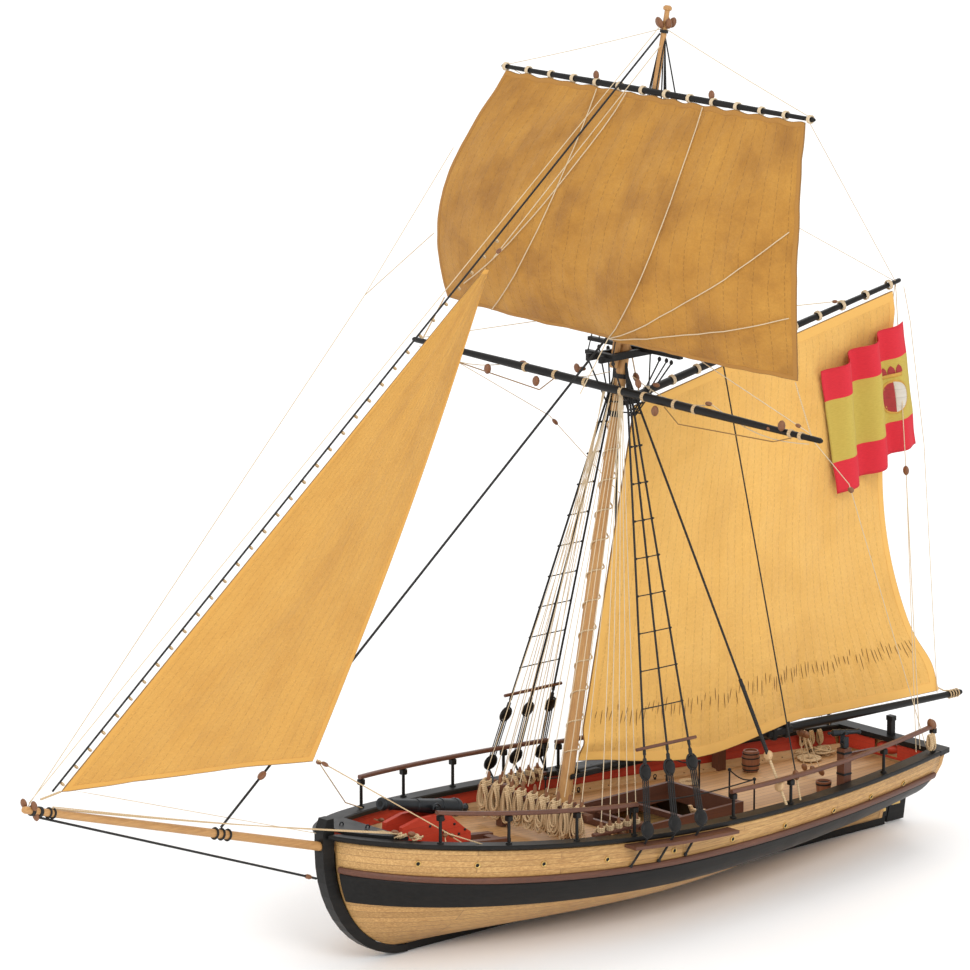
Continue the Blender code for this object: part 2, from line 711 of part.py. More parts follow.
def mast_x(z):
    return MAST_FOOT[0] + MAST_RAKE * (z - MAST_FOOT[1])


def topmast_x(z):
    return TOPMAST_HEEL[0] + TOPMAST_RAKE * (z - TOPMAST_HEEL[1])


def bowsprit_z(x):
    (x0, z0), (x1, z1) = BOWSPRIT_HEEL, BOWSPRIT_TIP
    return z0 + (z1 - z0) * (x - x0) / (x1 - x0)


def upright(pair):
    return (pair[0], 0, pair[1])


def make_masts():
    spar("lower_mast", (mast_x(13 * MM), 0, 13 * MM), (mast_x(MAST_TOP_Z), 0, MAST_TOP_Z),
         ((0, 3.5 * MM), (0.3, 3.5 * MM), (0.85, 2.9 * MM), (1, 2.7 * MM)), "spar_wood", 12)
    spar("topmast", (topmast_x(272 * MM), 0, 272 * MM), (topmast_x(TRUCK_Z), 0, TRUCK_Z),
         ((0, 2.2 * MM), (0.3, 2.2 * MM), (0.9, 1.5 * MM), (0.955, 1.4 * MM), (0.96, 2.6 * MM),
          (0.985, 2.6 * MM), (0.99, 1.2 * MM), (1, 1.1 * MM)), "spar_wood", 10)
    spar("bowsprit", upright(BOWSPRIT_HEEL), upright(BOWSPRIT_TIP),
         ((0, 2.3 * MM), (0.2, 2.25 * MM), (0.9, 1.9 * MM), (0.93, 1.9 * MM), (1, 1.8 * MM)), "spar_wood", 10)


def make_crosstrees():
    """Trestletrees and spreader on the lower masthead, and the cap that holds the topmast."""
    z = 278.5 * MM
    centre = (mast_x(z) + topmast_x(z)) / 2
    parts = []
    for y in (-1, 1):
        a, b = sorted((y * 3.5 * MM, y * 5.5 * MM))
        parts.append(draft_box((centre - 18 * MM, a, z - 1.8 * MM), (centre + 18 * MM, b, z + 1.8 * MM)))
    for x, half in ((centre + 13 * MM, 10), (centre - 10.5 * MM, 33)):
        parts.append(draft_box((x - 1.3 * MM, -half * MM, z + 0.6 * MM), (x + 1.3 * MM, half * MM, z + 2.6 * MM)))
    join("crosstrees", parts, "black_paint")
    z = 304 * MM
    aft, fore = mast_x(z) - 4.8 * MM, topmast_x(z) + 4.6 * MM
    cap = box("mast_cap", (aft, -4.6 * MM, z - 1.8 * MM), (fore, 4.6 * MM, z + 1.8 * MM), "black_paint")
    holes = [draft_rod([(mast_x(h), 0, h) for h in (290 * MM, 320 * MM)], [3.1 * MM] * 2, 12),
             draft_rod([(topmast_x(h), 0, h) for h in (290 * MM, 320 * MM)], [2.55 * MM] * 2, 12)]
    for hole in holes:
        boolean(cap, hole, "DIFFERENCE")
    bpy.context.view_layer.update()
    solid = bpy.data.meshes.new_from_object(cap.evaluated_get(bpy.context.evaluated_depsgraph_get()))
    for used in (cap, *holes):
        bpy.data.objects.remove(used, do_unlink=True)
    solid.materials.clear()
    place("mast_cap", solid, "black_paint")


def make_booms():
    boom_pivot = (mast_x(BOOM_JAWS[1]), 0, BOOM_JAWS[1])
    gaff_pivot = (mast_x(GAFF_JAWS[1]), 0, GAFF_JAWS[1])
    for name, start, end, radii, pivot in (
            ("boom", BOOM_JAWS, BOOM_END, (2.2, 2.6, 2.4, 1.7), boom_pivot),
            ("gaff", GAFF_JAWS, GAFF_PEAK, (1.9, 2.1, 1.9, 1.3), gaff_pivot)):
        profile = tuple((share, radius * MM) for share, radius in zip((0, 0.12, 0.6, 1), radii))
        stick = spar("draft", upright(start), upright(end), profile, "black_paint", 10)
        parts = [stick]
        for y in (-1, 1):
            reach = mast_x(start[1]) + 2.5 * MM
            back = start[0] - 12 * MM
            a, b = sorted((y * 4.1 * MM, y * 5.7 * MM))
            c, d = sorted((y * 1.2 * MM, y * 5.7 * MM))
            z = start[1]
            lean = (end[1] - start[1]) / (end[0] - start[0])
            drop = lean * -6 * MM
            parts.append(draft_box((start[0] - 1 * MM, a, z - 1.4 * MM), (reach, b, z + 1.4 * MM)))
            parts.append(draft_box((back, c, z + drop - 1.4 * MM), (start[0], d, z + drop + 1.4 * MM)))
        join(name, parts, "black_paint", pivot=pivot)


def make_yards():
    for name, (x, z), half, shift, tilt, middle, tip, axis_x in (
            ("lower_yard", LOWER_YARD, LOWER_YARD_HALF, 0, LOWER_YARD_TILT, 2.2, 1.5, mast_x),
            ("topsail_yard", TOPSAIL_YARD, TOPSAIL_YARD_HALF, TOPSAIL_YARD_SHIFT, 0, 1.7, 1.1, topmast_x)):
        reach = Vector((0, math.cos(tilt), -math.sin(tilt))) * half
        centre = Vector((x, shift, z))
        spar(name, centre - reach, centre + reach,
             ((0, tip * MM), (0.3, middle * MM), (0.7, middle * MM), (1, tip * MM)), "black_paint", 10,
             pivot=(axis_x(z), 0, z))


# ---------------------------------------------------------------- sails

def mainsail_point(along, up):
    """along runs from luff to leech and up from foot to head, both 0 to 1."""
    tack, clew = Vector((-37.5 * MM, 0, 73.5 * MM)), Vector((-296.5 * MM, 0, 67.3 * MM))
    throat, peak = Vector((-75 * MM, 0, 250.5 * MM)), Vector((-258.5 * MM, 0, 284.2 * MM))
    foot = tack.lerp(clew, along)
    head = throat.lerp(peak, along)
    point = foot.lerp(head, up)
    hollow = math.sin(math.pi * min(1.0, up * 1.05)) ** 1.0
    point.x += along * 29 * MM * hollow * (1 - 0.35 * up)
    drape = (1 - up) ** 6
    point.z -= 8.5 * MM * drape * math.sin(math.pi * min(1.0, along / 0.62)) ** 2 if along < 0.62 else 0
    point.y = 9 * MM * math.sin(math.pi * min(1, along * 1.0)) * math.sin(math.pi * up) ** 0.8
    near_foot = (1 - up) ** 3
    hang = math.sin(math.pi * min(1.0, along / 0.62)) if along < 0.62 else 0.0
    point.y += near_foot * 5.2 * MM * min(1.0, 1.8 * hang)
    point.z += near_foot * 1.2 * MM * (1 - min(1.0, 1.8 * hang))
    return point


def topsail_point(across, down):
    """across runs from -1 at starboard to 1 at port, and down from head to foot, 0 to 1."""
    half = 106 * MM + 20.5 * MM * math.sin(math.pi * min(1.0, down * 0.62))
    half += 6 * MM * math.sin(math.pi * down) if across < 0 else 0.0
    side_x = -82.3 * MM + (24 * math.sin(math.pi * 0.62 * down) - 3 * down) * MM
    belly = (1 - across * across) * (30 * math.sin(math.pi * min(1.0, 0.12 + down * 0.6)) - 10) * MM
    belly = max(0.0, belly) if down > 0.02 else 0.0
    z = (404.5 - 117.5 * down) * MM
    shift = TOPSAIL_YARD_SHIFT * (1 - down)
    tilt = -across * half * math.tan(LOWER_YARD_TILT) * down
    return Vector((side_x + belly, across * half + shift, z + tilt))


def jib_point(along, up):
    """along runs from luff to leech, and up from foot to head, 0 to 1."""
    tack, head, clew = (Vector((292.5 * MM, 0, 120.5 * MM)), Vector((22 * MM, 0, 336 * MM)),
                        Vector((144.5 * MM, 0, 109.4 * MM)))
    luff = tack.lerp(head, up)
    leech = clew.lerp(head, up)
    point = luff.lerp(leech, along)
    point.x -= 5 * MM * along * math.sin(math.pi * up)
    point.y = 9 * MM * math.sin(math.pi * along ** 0.8) * (1 - up) ** 0.7 * min(1.0, 0.35 + 2 * up)
    point.y += 7 * MM * along * along * (1 - up)
    return point


def flag_point(along, up):
    """along runs from hoist to fly, and up from foot to head, 0 to 1."""
    low, high = Vector((-271.5 * MM, 6 * MM, 203 * MM)), Vector((-260.5 * MM, 6 * MM, 269 * MM))
    point = low.lerp(high, up)
    point.x += 61 * MM * along
    point.z -= 17.5 * MM * along ** 1.15
    point.y += (5.5 * math.sin(2 * math.pi * (1.65 * along + 0.12 * up)) * min(1, 3 * along) + 6 * along) * MM
    return point


def sail_rows(shape, columns, rows, low=0.0, high=1.0, close=1.0):
    return [[shape(low + (high - low) * c / columns, close * r / rows) for c in range(columns + 1)]
            for r in range(rows + 1)]


def make_sails():
    boom_pivot = (mast_x(GAFF_JAWS[1]), 0, GAFF_JAWS[1])
    yard_pivot = (topmast_x(TOPSAIL_YARD[1]), 0, TOPSAIL_YARD[1])
    strip_solid("mainsail", sail_rows(mainsail_point, 14, 12), BOLT_ROPE, "sailcloth", 0, boom_pivot)
    strip_solid("topsail", sail_rows(topsail_point, 12, 10, -1.0, 1.0), BOLT_ROPE, "sailcloth", 0, yard_pivot)
    strip_solid("jib", sail_rows(jib_point, 6, 12, close=0.97), BOLT_ROPE, "sailcloth", 0)
    strip_solid("flag", sail_rows(flag_point, 14, 4), 0.5 * MM, "flag_cloth", 0, boom_pivot)


# ---------------------------------------------------------------- guns

SLIDE_FORE = (90 * MM, 51.8 * MM)      # lower edge of the gun slide at its two ends
SLIDE_AFT = (16 * MM, 43.9 * MM)
TRUNNION = (63.4 * MM, 70.1 * MM)
MUZZLE = (94.9 * MM, 77.2 * MM)


def slide_z(x):
    (x0, z0), (x1, z1) = SLIDE_AFT, SLIDE_FORE
    return z0 + (z1 - z0) * (x - x0) / (x1 - x0)


def make_bow_gun():
    """The long gun on the centreline, its carriage and the slide that it recoils on."""
    fore, aft = SLIDE_FORE[0], SLIDE_AFT[0]
    parts = []
    for y in (-6.5 * MM, 6.5 * MM):
        outline = [(aft, slide_z(aft)), (fore, slide_z(fore)), (fore, slide_z(fore) + 2.6 * MM),
                   (aft, slide_z(aft) + 2.6 * MM)]
        parts.append(prism("draft", outline, 2 * MM, "mahogany", shift=(0, y, 0), group=CUTTERS))
    for x in (aft + 5 * MM, (aft + fore) / 2, fore - 5 * MM):
        parts.append(draft_box((x - 2 * MM, -7 * MM, slide_z(x) + 0.5 * MM), (x + 2 * MM, 7 * MM, slide_z(x) + 2.1 * MM)))
    join("gun_slide", parts, "mahogany")

    def bed(x, rise):
        return (x * MM, slide_z(x * MM) + (2.6 + rise) * MM + GAP)
    parts = []
    for y in (-6.2 * MM, 6.2 * MM):
        outline = [bed(42, 0), bed(87, 0), bed(87, 10.5), bed(76, 14.2), bed(57, 16), bed(53, 12.5), bed(47, 8), bed(42, 5)]
        parts.append(prism("draft", outline, 1.3 * MM, "red_paint", shift=(0, y, 0), group=CUTTERS))
    for x, rise in ((74, 5.5), (46, 3.5)):
        low = bed(x, 0.5)
        parts.append(draft_box((low[0] - 2 * MM, -7 * MM, low[1]), (low[0] + 2 * MM, 7 * MM, low[1] + rise * MM)))
    join("gun_carriage", parts, "red_paint", pivot=upright(bed(60, 0)))

    direction = Vector((MUZZLE[0] - TRUNNION[0], 0, MUZZLE[1] - TRUNNION[1])).normalized()
    muzzle = Vector(upright(MUZZLE))
    profile = ((0, 3.0), (0.6, 3.4), (2.4, 3.4), (4.5, 2.7), (24, 3.1), (24.6, 3.5), (40, 4.0), (40.6, 4.4),
               (50.5, 4.6), (52.5, 4.4), (53.5, 2.4), (55, 1.4), (56, 1.9), (57.6, 1.9), (58.4, 1.0))
    barrel = draft_rod([muzzle - direction * (s * MM) for s, _ in profile], [r * MM for _, r in profile], 12)
    trunnions = draft_rod([(TRUNNION[0], -7.3 * MM, TRUNNION[1]), (TRUNNION[0], 7.3 * MM, TRUNNION[1])],
                          [1.4 * MM] * 2, 8)
    join("bow_gun", [barrel, trunnions], "gun_iron", pivot=upright(TRUNNION))


SWIVEL_POST = (-181 * MM, 45.5 * MM, 64 * MM)    # centre of a swivel post's top, on the port side


def make_swivel_gun(prefix, side):
    """A small gun in a forked yoke on top of a post inside the bulwark."""
    x, y, top = SWIVEL_POST
    y *= side
    floor = deck_edge(x) + GAP
    box(prefix + "_swivel_post", (x - 2.6 * MM, y - 2.6 * MM, floor), (x + 2.6 * MM, y + 2.6 * MM, top), "mahogany")
    aim = Matrix.Translation((x, y, 0)) @ Matrix.Rotation(side * math.radians(180 - 27.5), 4, "Z") @ Matrix.Translation((-x, -y, 0))
    base = top + GAP
    parts = [draft_rod([(x, y, base), (x, y, base + 1.4 * MM)], [2 * MM] * 2, 10),
             draft_box((x - 1 * MM, y - 3.4 * MM, base + 0.8 * MM), (x + 1 * MM, y + 3.4 * MM, base + 2 * MM), aim)]
    for arm in (-1, 1):
        a, b = sorted((arm * 2.5 * MM, arm * 3.6 * MM))
        parts.append(draft_box((x - 1.2 * MM, y + a, base + 0.6 * MM), (x + 1.2 * MM, y + b, base + 6.2 * MM), aim))
    pivot = (x, y, base)
    join(prefix + "_swivel_yoke", parts, "gun_iron", pivot=pivot)
    forward = aim.to_3x3() @ Vector((1, 0, 0))
    centre = Vector((x, y, base + 7.9 * MM))
    profile = ((8.5, 1.5), (7.2, 1.5), (6.6, 1.2), (-2, 1.5), (-2.4, 1.8), (-6.5, 2.0), (-7.2, 0.9), (-9, 0.9))
    barrel = draft_rod([centre + forward * (s * MM) for s, _ in profile], [r * MM for _, r in profile], 10)
    across = aim.to_3x3() @ Vector((0, 3.3 * MM, 0))
    pin = draft_rod([centre - across, centre + across], [0.7 * MM] * 2, 6)
    pin_drop = Vector((0, 0, 0))
    join(prefix + "_swivel_gun", [barrel, pin], "gun_iron", pivot=tuple(centre + pin_drop))


# ---------------------------------------------------------------- standing rigging

SHROUD_FEET = (-17 * MM, -34.5 * MM, -52 * MM)
DEADEYE_LOW_Z = 57.5 * MM
DEADEYE_HIGH_Z = 84 * MM


def make_shrouds(name, side):
    """Three shrouds with their deadeyes, lanyards and sheer pole, joined under the crosstrees."""
    top = Vector((mast_x(272 * MM), side * 4.6 * MM, 272 * MM))
    parts = []
    poles = []
    for port_x in SHROUD_FEET:
        foot_x = port_x + shroud_shift(side)
        low = Vector((foot_x, side * (cap_half(foot_x) + 4.6 * MM), DEADEYE_LOW_Z))
        share = (DEADEYE_HIGH_Z - low.z) / (top.z - low.z)
        high = low.lerp(top, share)
        pole = low.lerp(top, share + 0.045)
        poles.append(pole)
        along = (top - low).normalized()
        outward = Vector((0, side, 0)).cross(along).cross(along).normalized()
        parts.append(draft_rod([high, top], [0.55 * MM, 0.5 * MM], 6))
        parts.append(draft_rod([low, high], [0.9 * MM] * 2, 6))
        for centre, radius in ((low, 4.0 * MM), (high, 3.3 * MM)):
            parts.append(draft_rod([centre - outward * 1.1 * MM, centre + outward * 1.1 * MM], [radius] * 2, 10))
    stretch = (poles[-1] - poles[0]).normalized() * 4 * MM
    parts.append(draft_rod([poles[0] - stretch, poles[-1] + stretch], [0.8 * MM] * 2, 6))
    parts.append(draft_rod([top - Vector((0, 0, 2 * MM)), top + Vector((0, 0, 2.5 * MM))], [1.0 * MM] * 2, 8))
    join(name, parts, "black_rope")


def make_stays():
    z = 292 * MM
    fore = Vector((topmast_x(z) + 3.2 * MM, 0, z))
    foot_x = 196 * MM
    foot = Vector((foot_x, 0, bowsprit_z(foot_x) + 3.4 * MM))
    rod("forestay", [foot, fore], [0.65 * MM] * 2, "black_rope", 6)
    z = 436 * MM
    head = Vector((topmast_x(z) + 2.6 * MM, 0, z))
    foot = Vector((298 * MM, 0, 121.5 * MM))
    rod("jib_stay", [foot, head], [0.5 * MM] * 2, "black_rope", 6)
    x = 309 * MM
    under = Vector((x, 0, bowsprit_z(x) - 2.6 * MM))
    rod("bobstay", [(136.2 * MM, 0, 47.5 * MM), under], [0.7 * MM] * 2, "black_rope", 6)


# ---------------------------------------------------------------- assembly

def build():
    for label, side in (("port", 1), ("starboard", -1)):
        make_planking(label + "_planking", side)
        make_belt(label + "_wale", side, lambda x: strake_top(x) - STRAKE_HEIGHT - GAP - wale_height(x),
                  lambda x: strake_top(x) - STRAKE_HEIGHT - GAP, GAP, 1.3 * MM, "black_paint", 3)
        make_belt(label + "_rubbing_strake", side, lambda x: strake_top(x) - STRAKE_HEIGHT,
                  strake_top, GAP, 1.9 * MM, "mahogany", 1)
        make_lining(label + "_bulwark_lining", side)
        make_cap_rail(label + "_cap_rail", side)
        make_channel(label + "_channel", side)
        fore_posts = (90, 55, 18, -18) if side > 0 else (69, 30, -9, -46, -76)
        handrail(label + "_fore_handrail", side, [x * MM for x in fore_posts], 15.5 * MM)
        handrail(label + "_aft_handrail", side, (-82 * MM, -127 * MM, -206 * MM, -256 * MM), 13.6 * MM)
        make_swivel_gun(label, side)
        make_shrouds(label + "_shrouds", side)
    for number, x in enumerate(BULKHEADS, 1):
        make_bulkhead("bulkhead_%d" % number, x)
    make_former()
    make_backbone()
    make_transom()
    make_deck()
    make_foredeck()
    make_taffrail()
    make_hatch()
    make_ladder()
    make_pin_rack()
    make_barrel()
    make_rudder()
    make_masts()
    make_crosstrees()
    make_booms()
    make_yards()
    make_sails()
    make_bow_gun()
    make_stays()


clear_scene()
SHIP = new_collection("gunboat")
CUTTERS = new_collection("cutters")
MATERIALS = {label: make_material(label) for label in FINISHES}
build()
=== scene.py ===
"""The looks of a wooden gunboat model: woods, sailcloth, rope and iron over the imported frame."""
import math
import random

import bmesh
import bpy
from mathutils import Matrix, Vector, noise


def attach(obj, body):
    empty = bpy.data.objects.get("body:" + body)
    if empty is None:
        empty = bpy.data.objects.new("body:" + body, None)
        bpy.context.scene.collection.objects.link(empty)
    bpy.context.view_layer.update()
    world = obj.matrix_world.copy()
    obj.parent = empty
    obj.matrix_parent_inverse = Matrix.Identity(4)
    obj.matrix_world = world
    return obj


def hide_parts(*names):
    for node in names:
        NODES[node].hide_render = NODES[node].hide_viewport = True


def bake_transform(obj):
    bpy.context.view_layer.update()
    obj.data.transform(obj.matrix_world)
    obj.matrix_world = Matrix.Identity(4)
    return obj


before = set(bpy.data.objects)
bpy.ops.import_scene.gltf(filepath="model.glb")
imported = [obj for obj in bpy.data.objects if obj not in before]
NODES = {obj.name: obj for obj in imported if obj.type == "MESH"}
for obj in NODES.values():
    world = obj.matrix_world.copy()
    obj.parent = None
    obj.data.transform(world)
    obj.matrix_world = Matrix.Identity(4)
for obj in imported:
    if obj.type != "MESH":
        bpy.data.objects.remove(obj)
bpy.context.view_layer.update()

MM = 0.001
UP = (0, 0, 1)
SIDES = (("port", 1), ("starboard", -1))

# The hull's form, in millimetres
STEM_X, STERN_X, MID_X = 133.0, -266.5, -50.0
HALF_BEAM, TRANSOM_HALF = 68.5, 38.5
RAIL_LOW_X, RAIL_LOW_Z, RAIL_RISE = -210.0, 47.2, 22.3
CAP_THICKNESS, CAP_WIDTH, CAP_OVERHANG = 2.6, 9.0, 1.5
BULWARK, CAMBER = 13.5, 1.0
PLANK, GAP = 1.4, 0.3
KEEL_HEIGHT, RABBET_HALF = 4.0, 3.0
STEM_CENTRE, STEM_INNER = (80.0, 60.0), (46.5, 56.0)
STERN_FOOT_X, STERN_RAKE = -249.5, 0.277
STRAKE_HEIGHT = 3.0

# The rig
LOWER_YARD_X, LOWER_YARD_Z, LOWER_YARD_TILT = -58.9, 261.7, math.radians(1.1)
MAST_LINE = (-0.18, 0, 1)
SHROUD_FEET = (-17.0, -34.5, -52.0)
DEADEYE_LOW_Z, DEADEYE_HIGH_Z = 57.5, 84.0
HATCH = (-128.0, -48.0, 27.0)


# ---------------------------------------------------------------- finishes

class Finish:
    """A material and the few nodes that these finishes are made of."""

    def __init__(self, name, roughness=0.5, metallic=0.0):
        self.material = bpy.data.materials.new(name)
        self.material.use_nodes = True
        self.nodes = self.material.node_tree.nodes
        self.links = self.material.node_tree.links
        self.shader = self.nodes["Principled BSDF"]
        self.shader.inputs["Roughness"].default_value = roughness
        self.shader.inputs["Metallic"].default_value = metallic

    def node(self, kind, inputs=None, **settings):
        made = self.nodes.new(kind)
        for key, value in settings.items():
            setattr(made, key, value)
        for key, value in (inputs or {}).items():
            self.feed(made.inputs[key], value)
        return made

    def feed(self, socket, value):
        if isinstance(value, bpy.types.NodeSocket):
            self.links.new(value, socket)
        else:
            socket.default_value = value

    def value(self, operation, first, second=0.0):
        return self.node("ShaderNodeMath", {0: first, 1: second}, operation=operation).outputs[0]

    def coords(self, source="Object", scale=(1.0, 1.0, 1.0), turn=(0.0, 0.0, 0.0)):
        place = self.node("ShaderNodeTexCoord").outputs[source]
        mapping = self.node("ShaderNodeMapping", {"Vector": place, "Scale": scale, "Rotation": turn})
        return mapping.outputs[0]

    def noise(self, vector, scale=1.0, detail=4.0, rough=0.55):
        inputs = {"Vector": vector, "Scale": scale, "Detail": detail, "Roughness": rough}
        return self.node("ShaderNodeTexNoise", inputs).outputs["Fac"]

    def ramp(self, factor, stops):
        made = self.node("ShaderNodeValToRGB", {"Fac": factor})
        band = made.color_ramp.elements
        while len(band) < len(stops):
            band.new(0.5)
        for element, (position, colour) in zip(band, stops):
            element.position = position
            element.color = (*colour, 1.0)
        return made.outputs["Color"]

    def mix(self, factor, first, second, blend="MIX"):
        made = self.node("ShaderNodeMix", data_type="RGBA", blend_type=blend)
        self.feed(made.inputs[0], factor)
        for socket, value in ((made.inputs[6], first), (made.inputs[7], second)):
            self.feed(socket, value if isinstance(value, bpy.types.NodeSocket) else (*value, 1.0))
        return made.outputs[2]

    def bump(self, height, strength, distance):
        inputs = {"Height": height, "Strength": strength, "Distance": distance}
        self.links.new(self.node("ShaderNodeBump", inputs).outputs[0], self.shader.inputs["Normal"])

    def colour(self, socket):
        self.links.new(socket, self.shader.inputs["Base Color"])

    def rough(self, factor, low, high):
        spread = self.node("ShaderNodeMapRange", {"Value": factor, "To Min": low, "To Max": high})
        self.links.new(spread.outputs[0], self.shader.inputs["Roughness"])


def grain_scale(along, fine):
    return tuple(fine * 0.035 if axis == along else fine for axis in "XYZ")


def wood(name, pale, dark, along="X", fine=900.0, roughness=(0.4, 0.6), planks=None,
         seam=(0.05, 0.03, 0.02),
         contrast=0.5, source="Object"):
    """Straight-grained wood. planks is (length, width, seam) of the boards, in millimetres."""
    finish = Finish(name)
    grain = finish.coords(scale=grain_scale(along, fine))
    streaks = finish.noise(grain, 1.0, 5.0, 0.65)
    pores = finish.noise(grain, 3.1, 2.0, 0.5)
    clouds = finish.noise(finish.coords(), 22.0, 2.0)
    middle = tuple((a + b) / 2 for a, b in zip(pale, dark))
    tone = finish.ramp(streaks, ((0.3, dark), (0.5, middle), (0.66, pale)))
    tone = finish.mix(contrast, finish.mix(0.5, pale, middle), tone)
    tone = finish.mix(finish.value("MULTIPLY", clouds, 0.5), tone, middle, "MULTIPLY")
    pits = finish.value("LESS_THAN", pores, 0.36)
    tone = finish.mix(finish.value("MULTIPLY", pits, 0.35 * contrast), tone, dark)
    height = finish.value("SUBTRACT", streaks, finish.value("MULTIPLY", pits, 0.4))
    if planks:
        length, width, gap = planks
        scale = (1.0, 1.0, 1.0) if source == "UV" else (1000.0, 1000.0, 1000.0)
        inputs = {"Vector": finish.coords(source, scale), "Scale": 1.0, "Brick Width": length,
                  "Row Height": width, "Mortar Size": gap, "Mortar Smooth": 0.2,
                  "Color1": (0.72, 0.70, 0.66, 1), "Color2": (1, 1, 1, 1), "Mortar": (0.9, 0.9, 0.9, 1)}
        boards = finish.node("ShaderNodeTexBrick", inputs, offset=0.37, offset_frequency=3)
        tone = finish.mix(0.75, tone, boards.outputs["Color"], "MULTIPLY")
        tone = finish.mix(boards.outputs["Fac"], tone, seam)
        height = finish.value("SUBTRACT", finish.value("MULTIPLY", height, 0.35), boards.outputs["Fac"])
    finish.colour(tone)
    finish.rough(streaks, *roughness)
    finish.bump(height, 0.35, 0.0002)
    return finish.material


def black_satin(name, along="X"):
    finish = Finish(name)
    streaks = finish.noise(finish.coords(scale=grain_scale(along, 700.0)), 1.0, 5.0, 0.6)
    wear = finish.noise(finish.coords(), 60.0, 3.0)
    tone = finish.ramp(streaks, ((0.3, (0.0025, 0.0024, 0.0024)), (0.7, (0.009, 0.0085, 0.008))))
    tone = finish.mix(finish.value("MULTIPLY", wear, 0.25), tone, (0.020, 0.017, 0.014))
    finish.colour(tone)
    finish.shader.inputs["Specular IOR Level"].default_value = 0.22
    finish.rough(wear, 0.34, 0.55)
    finish.bump(streaks, 0.25, 0.0002)
    return finish.material


def painted(name, colour, deep, roughness=(0.5, 0.7)):
    finish = Finish(name)
    brushed = finish.noise(finish.coords(scale=grain_scale("X", 600.0)), 1.0, 4.0)
    blotches = finish.noise(finish.coords(), 90.0, 3.0)
    seams = finish.value("FRACT", finish.value("MULTIPLY", finish.node(
        "ShaderNodeSeparateXYZ", {0: finish.coords()}).outputs[2], 1 / 0.0045))
    line = finish.value("LESS_THAN", seams, 0.06)
    tone = finish.mix(brushed, colour, deep)
    tone = finish.mix(finish.value("MULTIPLY", blotches, 0.35), tone, deep)
    tone = finish.mix(finish.value("MULTIPLY", line, 0.3), tone, tuple(c * 0.4 for c in deep))
    finish.colour(tone)
    finish.rough(blotches, *roughness)
    finish.bump(finish.value("SUBTRACT", finish.value("MULTIPLY", brushed, 0.4), line), 0.3, 0.0002)
    return finish.material


def cloth(name, colour, deep, pale, panel=6.6, stitch=2.8, mottle=0.5, weave=0.5):
    """Sailcloth, with painted shade along its creases. The piece's UV map is its flat cut, in millimetres.
    """
    finish = Finish(name, roughness=0.92)
    flat = finish.coords("UV")
    apart = finish.node("ShaderNodeSeparateXYZ", {0: flat})
    across, down = apart.outputs[0], apart.outputs[1]
    warp = finish.value("SINE", finish.value("MULTIPLY", across, math.tau / weave))
    weft = finish.value("SINE", finish.value("MULTIPLY", down, math.tau / weave))
    threads = finish.value("MULTIPLY", warp, weft)
    wander = finish.noise(flat, 0.06, 3.0)
    cell = finish.value("FRACT", finish.value("ADD", finish.value("DIVIDE", across, panel),
                                             finish.value("MULTIPLY", wander, 0.12)))
    seam = finish.value("LESS_THAN", cell, 0.055)
    dash = finish.value("LESS_THAN", finish.value("FRACT", finish.value("DIVIDE", down, stitch)), 0.62)
    stitches = finish.value("MULTIPLY", seam, dash)
    stains = finish.noise(flat, 0.028, 5.0, 0.6)
    slubs = finish.noise(finish.coords("UV", (0.25, 2.2, 1.0)), 1.0, 3.0)
    tone = finish.ramp(stains, ((0.34, deep), (0.5, colour), (0.68, pale)))
    tone = finish.mix(1 - mottle, tone, colour)
    tone = finish.mix(finish.value("MULTIPLY", slubs, 0.22), tone, deep)
    tone = finish.mix(finish.value("MULTIPLY", stitches, 0.45), tone, tuple(c * 0.55 for c in deep))
    finish.shader.inputs["Sheen Weight"].default_value = 0.08
    creases = finish.noise(flat, 0.11, 7.0, 0.62)
    ridge = finish.value("ABSOLUTE", finish.value("SUBTRACT", creases, 0.5))
    # Thin lines along the ridges of the crease noise are darkened towards the deep tone: painted shade in
    # the cloth's folds.
    crease_shade_mask = finish.value("LESS_THAN", ridge, 0.012)
    coarse = finish.noise(finish.coords("UV", (1.0, 0.7, 1.0)), 0.85, 3.0, 0.7)
    tone = finish.mix(finish.value("MULTIPLY", crease_shade_mask, 0.16), tone, deep)
    tone = finish.mix(finish.value("MULTIPLY", coarse, 0.42), tone, tuple(c * 0.72 for c in deep))
    height = finish.value("ADD", finish.value("MULTIPLY", threads, 0.05),
                          finish.value("MULTIPLY", slubs, 0.22))
    finish.colour(tone)
    height = finish.value("ADD", height, finish.value("MULTIPLY", creases, 2.6))
    height = finish.value("ADD", height, finish.value("MULTIPLY", coarse, 0.35))
    finish.bump(finish.value("SUBTRACT", height, finish.value("MULTIPLY", seam, 0.3)), 0.6, 0.0010)
    return finish.material


def rope(name, colour, deep, lay=1.4):
    """Laid line. U runs round it and V along it, in metres."""
    finish = Finish(name, roughness=0.85)
    apart = finish.node("ShaderNodeSeparateXYZ", {0: finish.coords("UV")})
    twist = finish.value("ADD", apart.outputs[0], finish.value("MULTIPLY", apart.outputs[1], 1000.0 / lay))
    strand_relief_and_shade = finish.value("PINGPONG", finish.value("MULTIPLY", twist, 3.0), 1.0)
    fuzz = finish.noise(finish.coords(), 1500.0, 2.0)
    # Each strand darkens to the deep tone at its edges and brightens to the line's colour on its crown:
    # painted shade in the grooves between strands.
    tone = finish.mix(strand_relief_and_shade, deep, colour)
    finish.colour(finish.mix(finish.value("MULTIPLY", fuzz, 0.4), tone, deep))
    finish.bump(strand_relief_and_shade, 0.5, 0.0002)
    return finish.material


def metal(name, colour, deep, roughness, metallic):
    finish = Finish(name, metallic=metallic)
    pitting = finish.noise(finish.coords(), 900.0, 4.0)
    clouds = finish.noise(finish.coords(), 120.0, 3.0)
    finish.colour(finish.mix(clouds, colour, deep))
    finish.rough(clouds, *roughness)
    finish.bump(pitting, 0.25, 0.0002)
    return finish.material


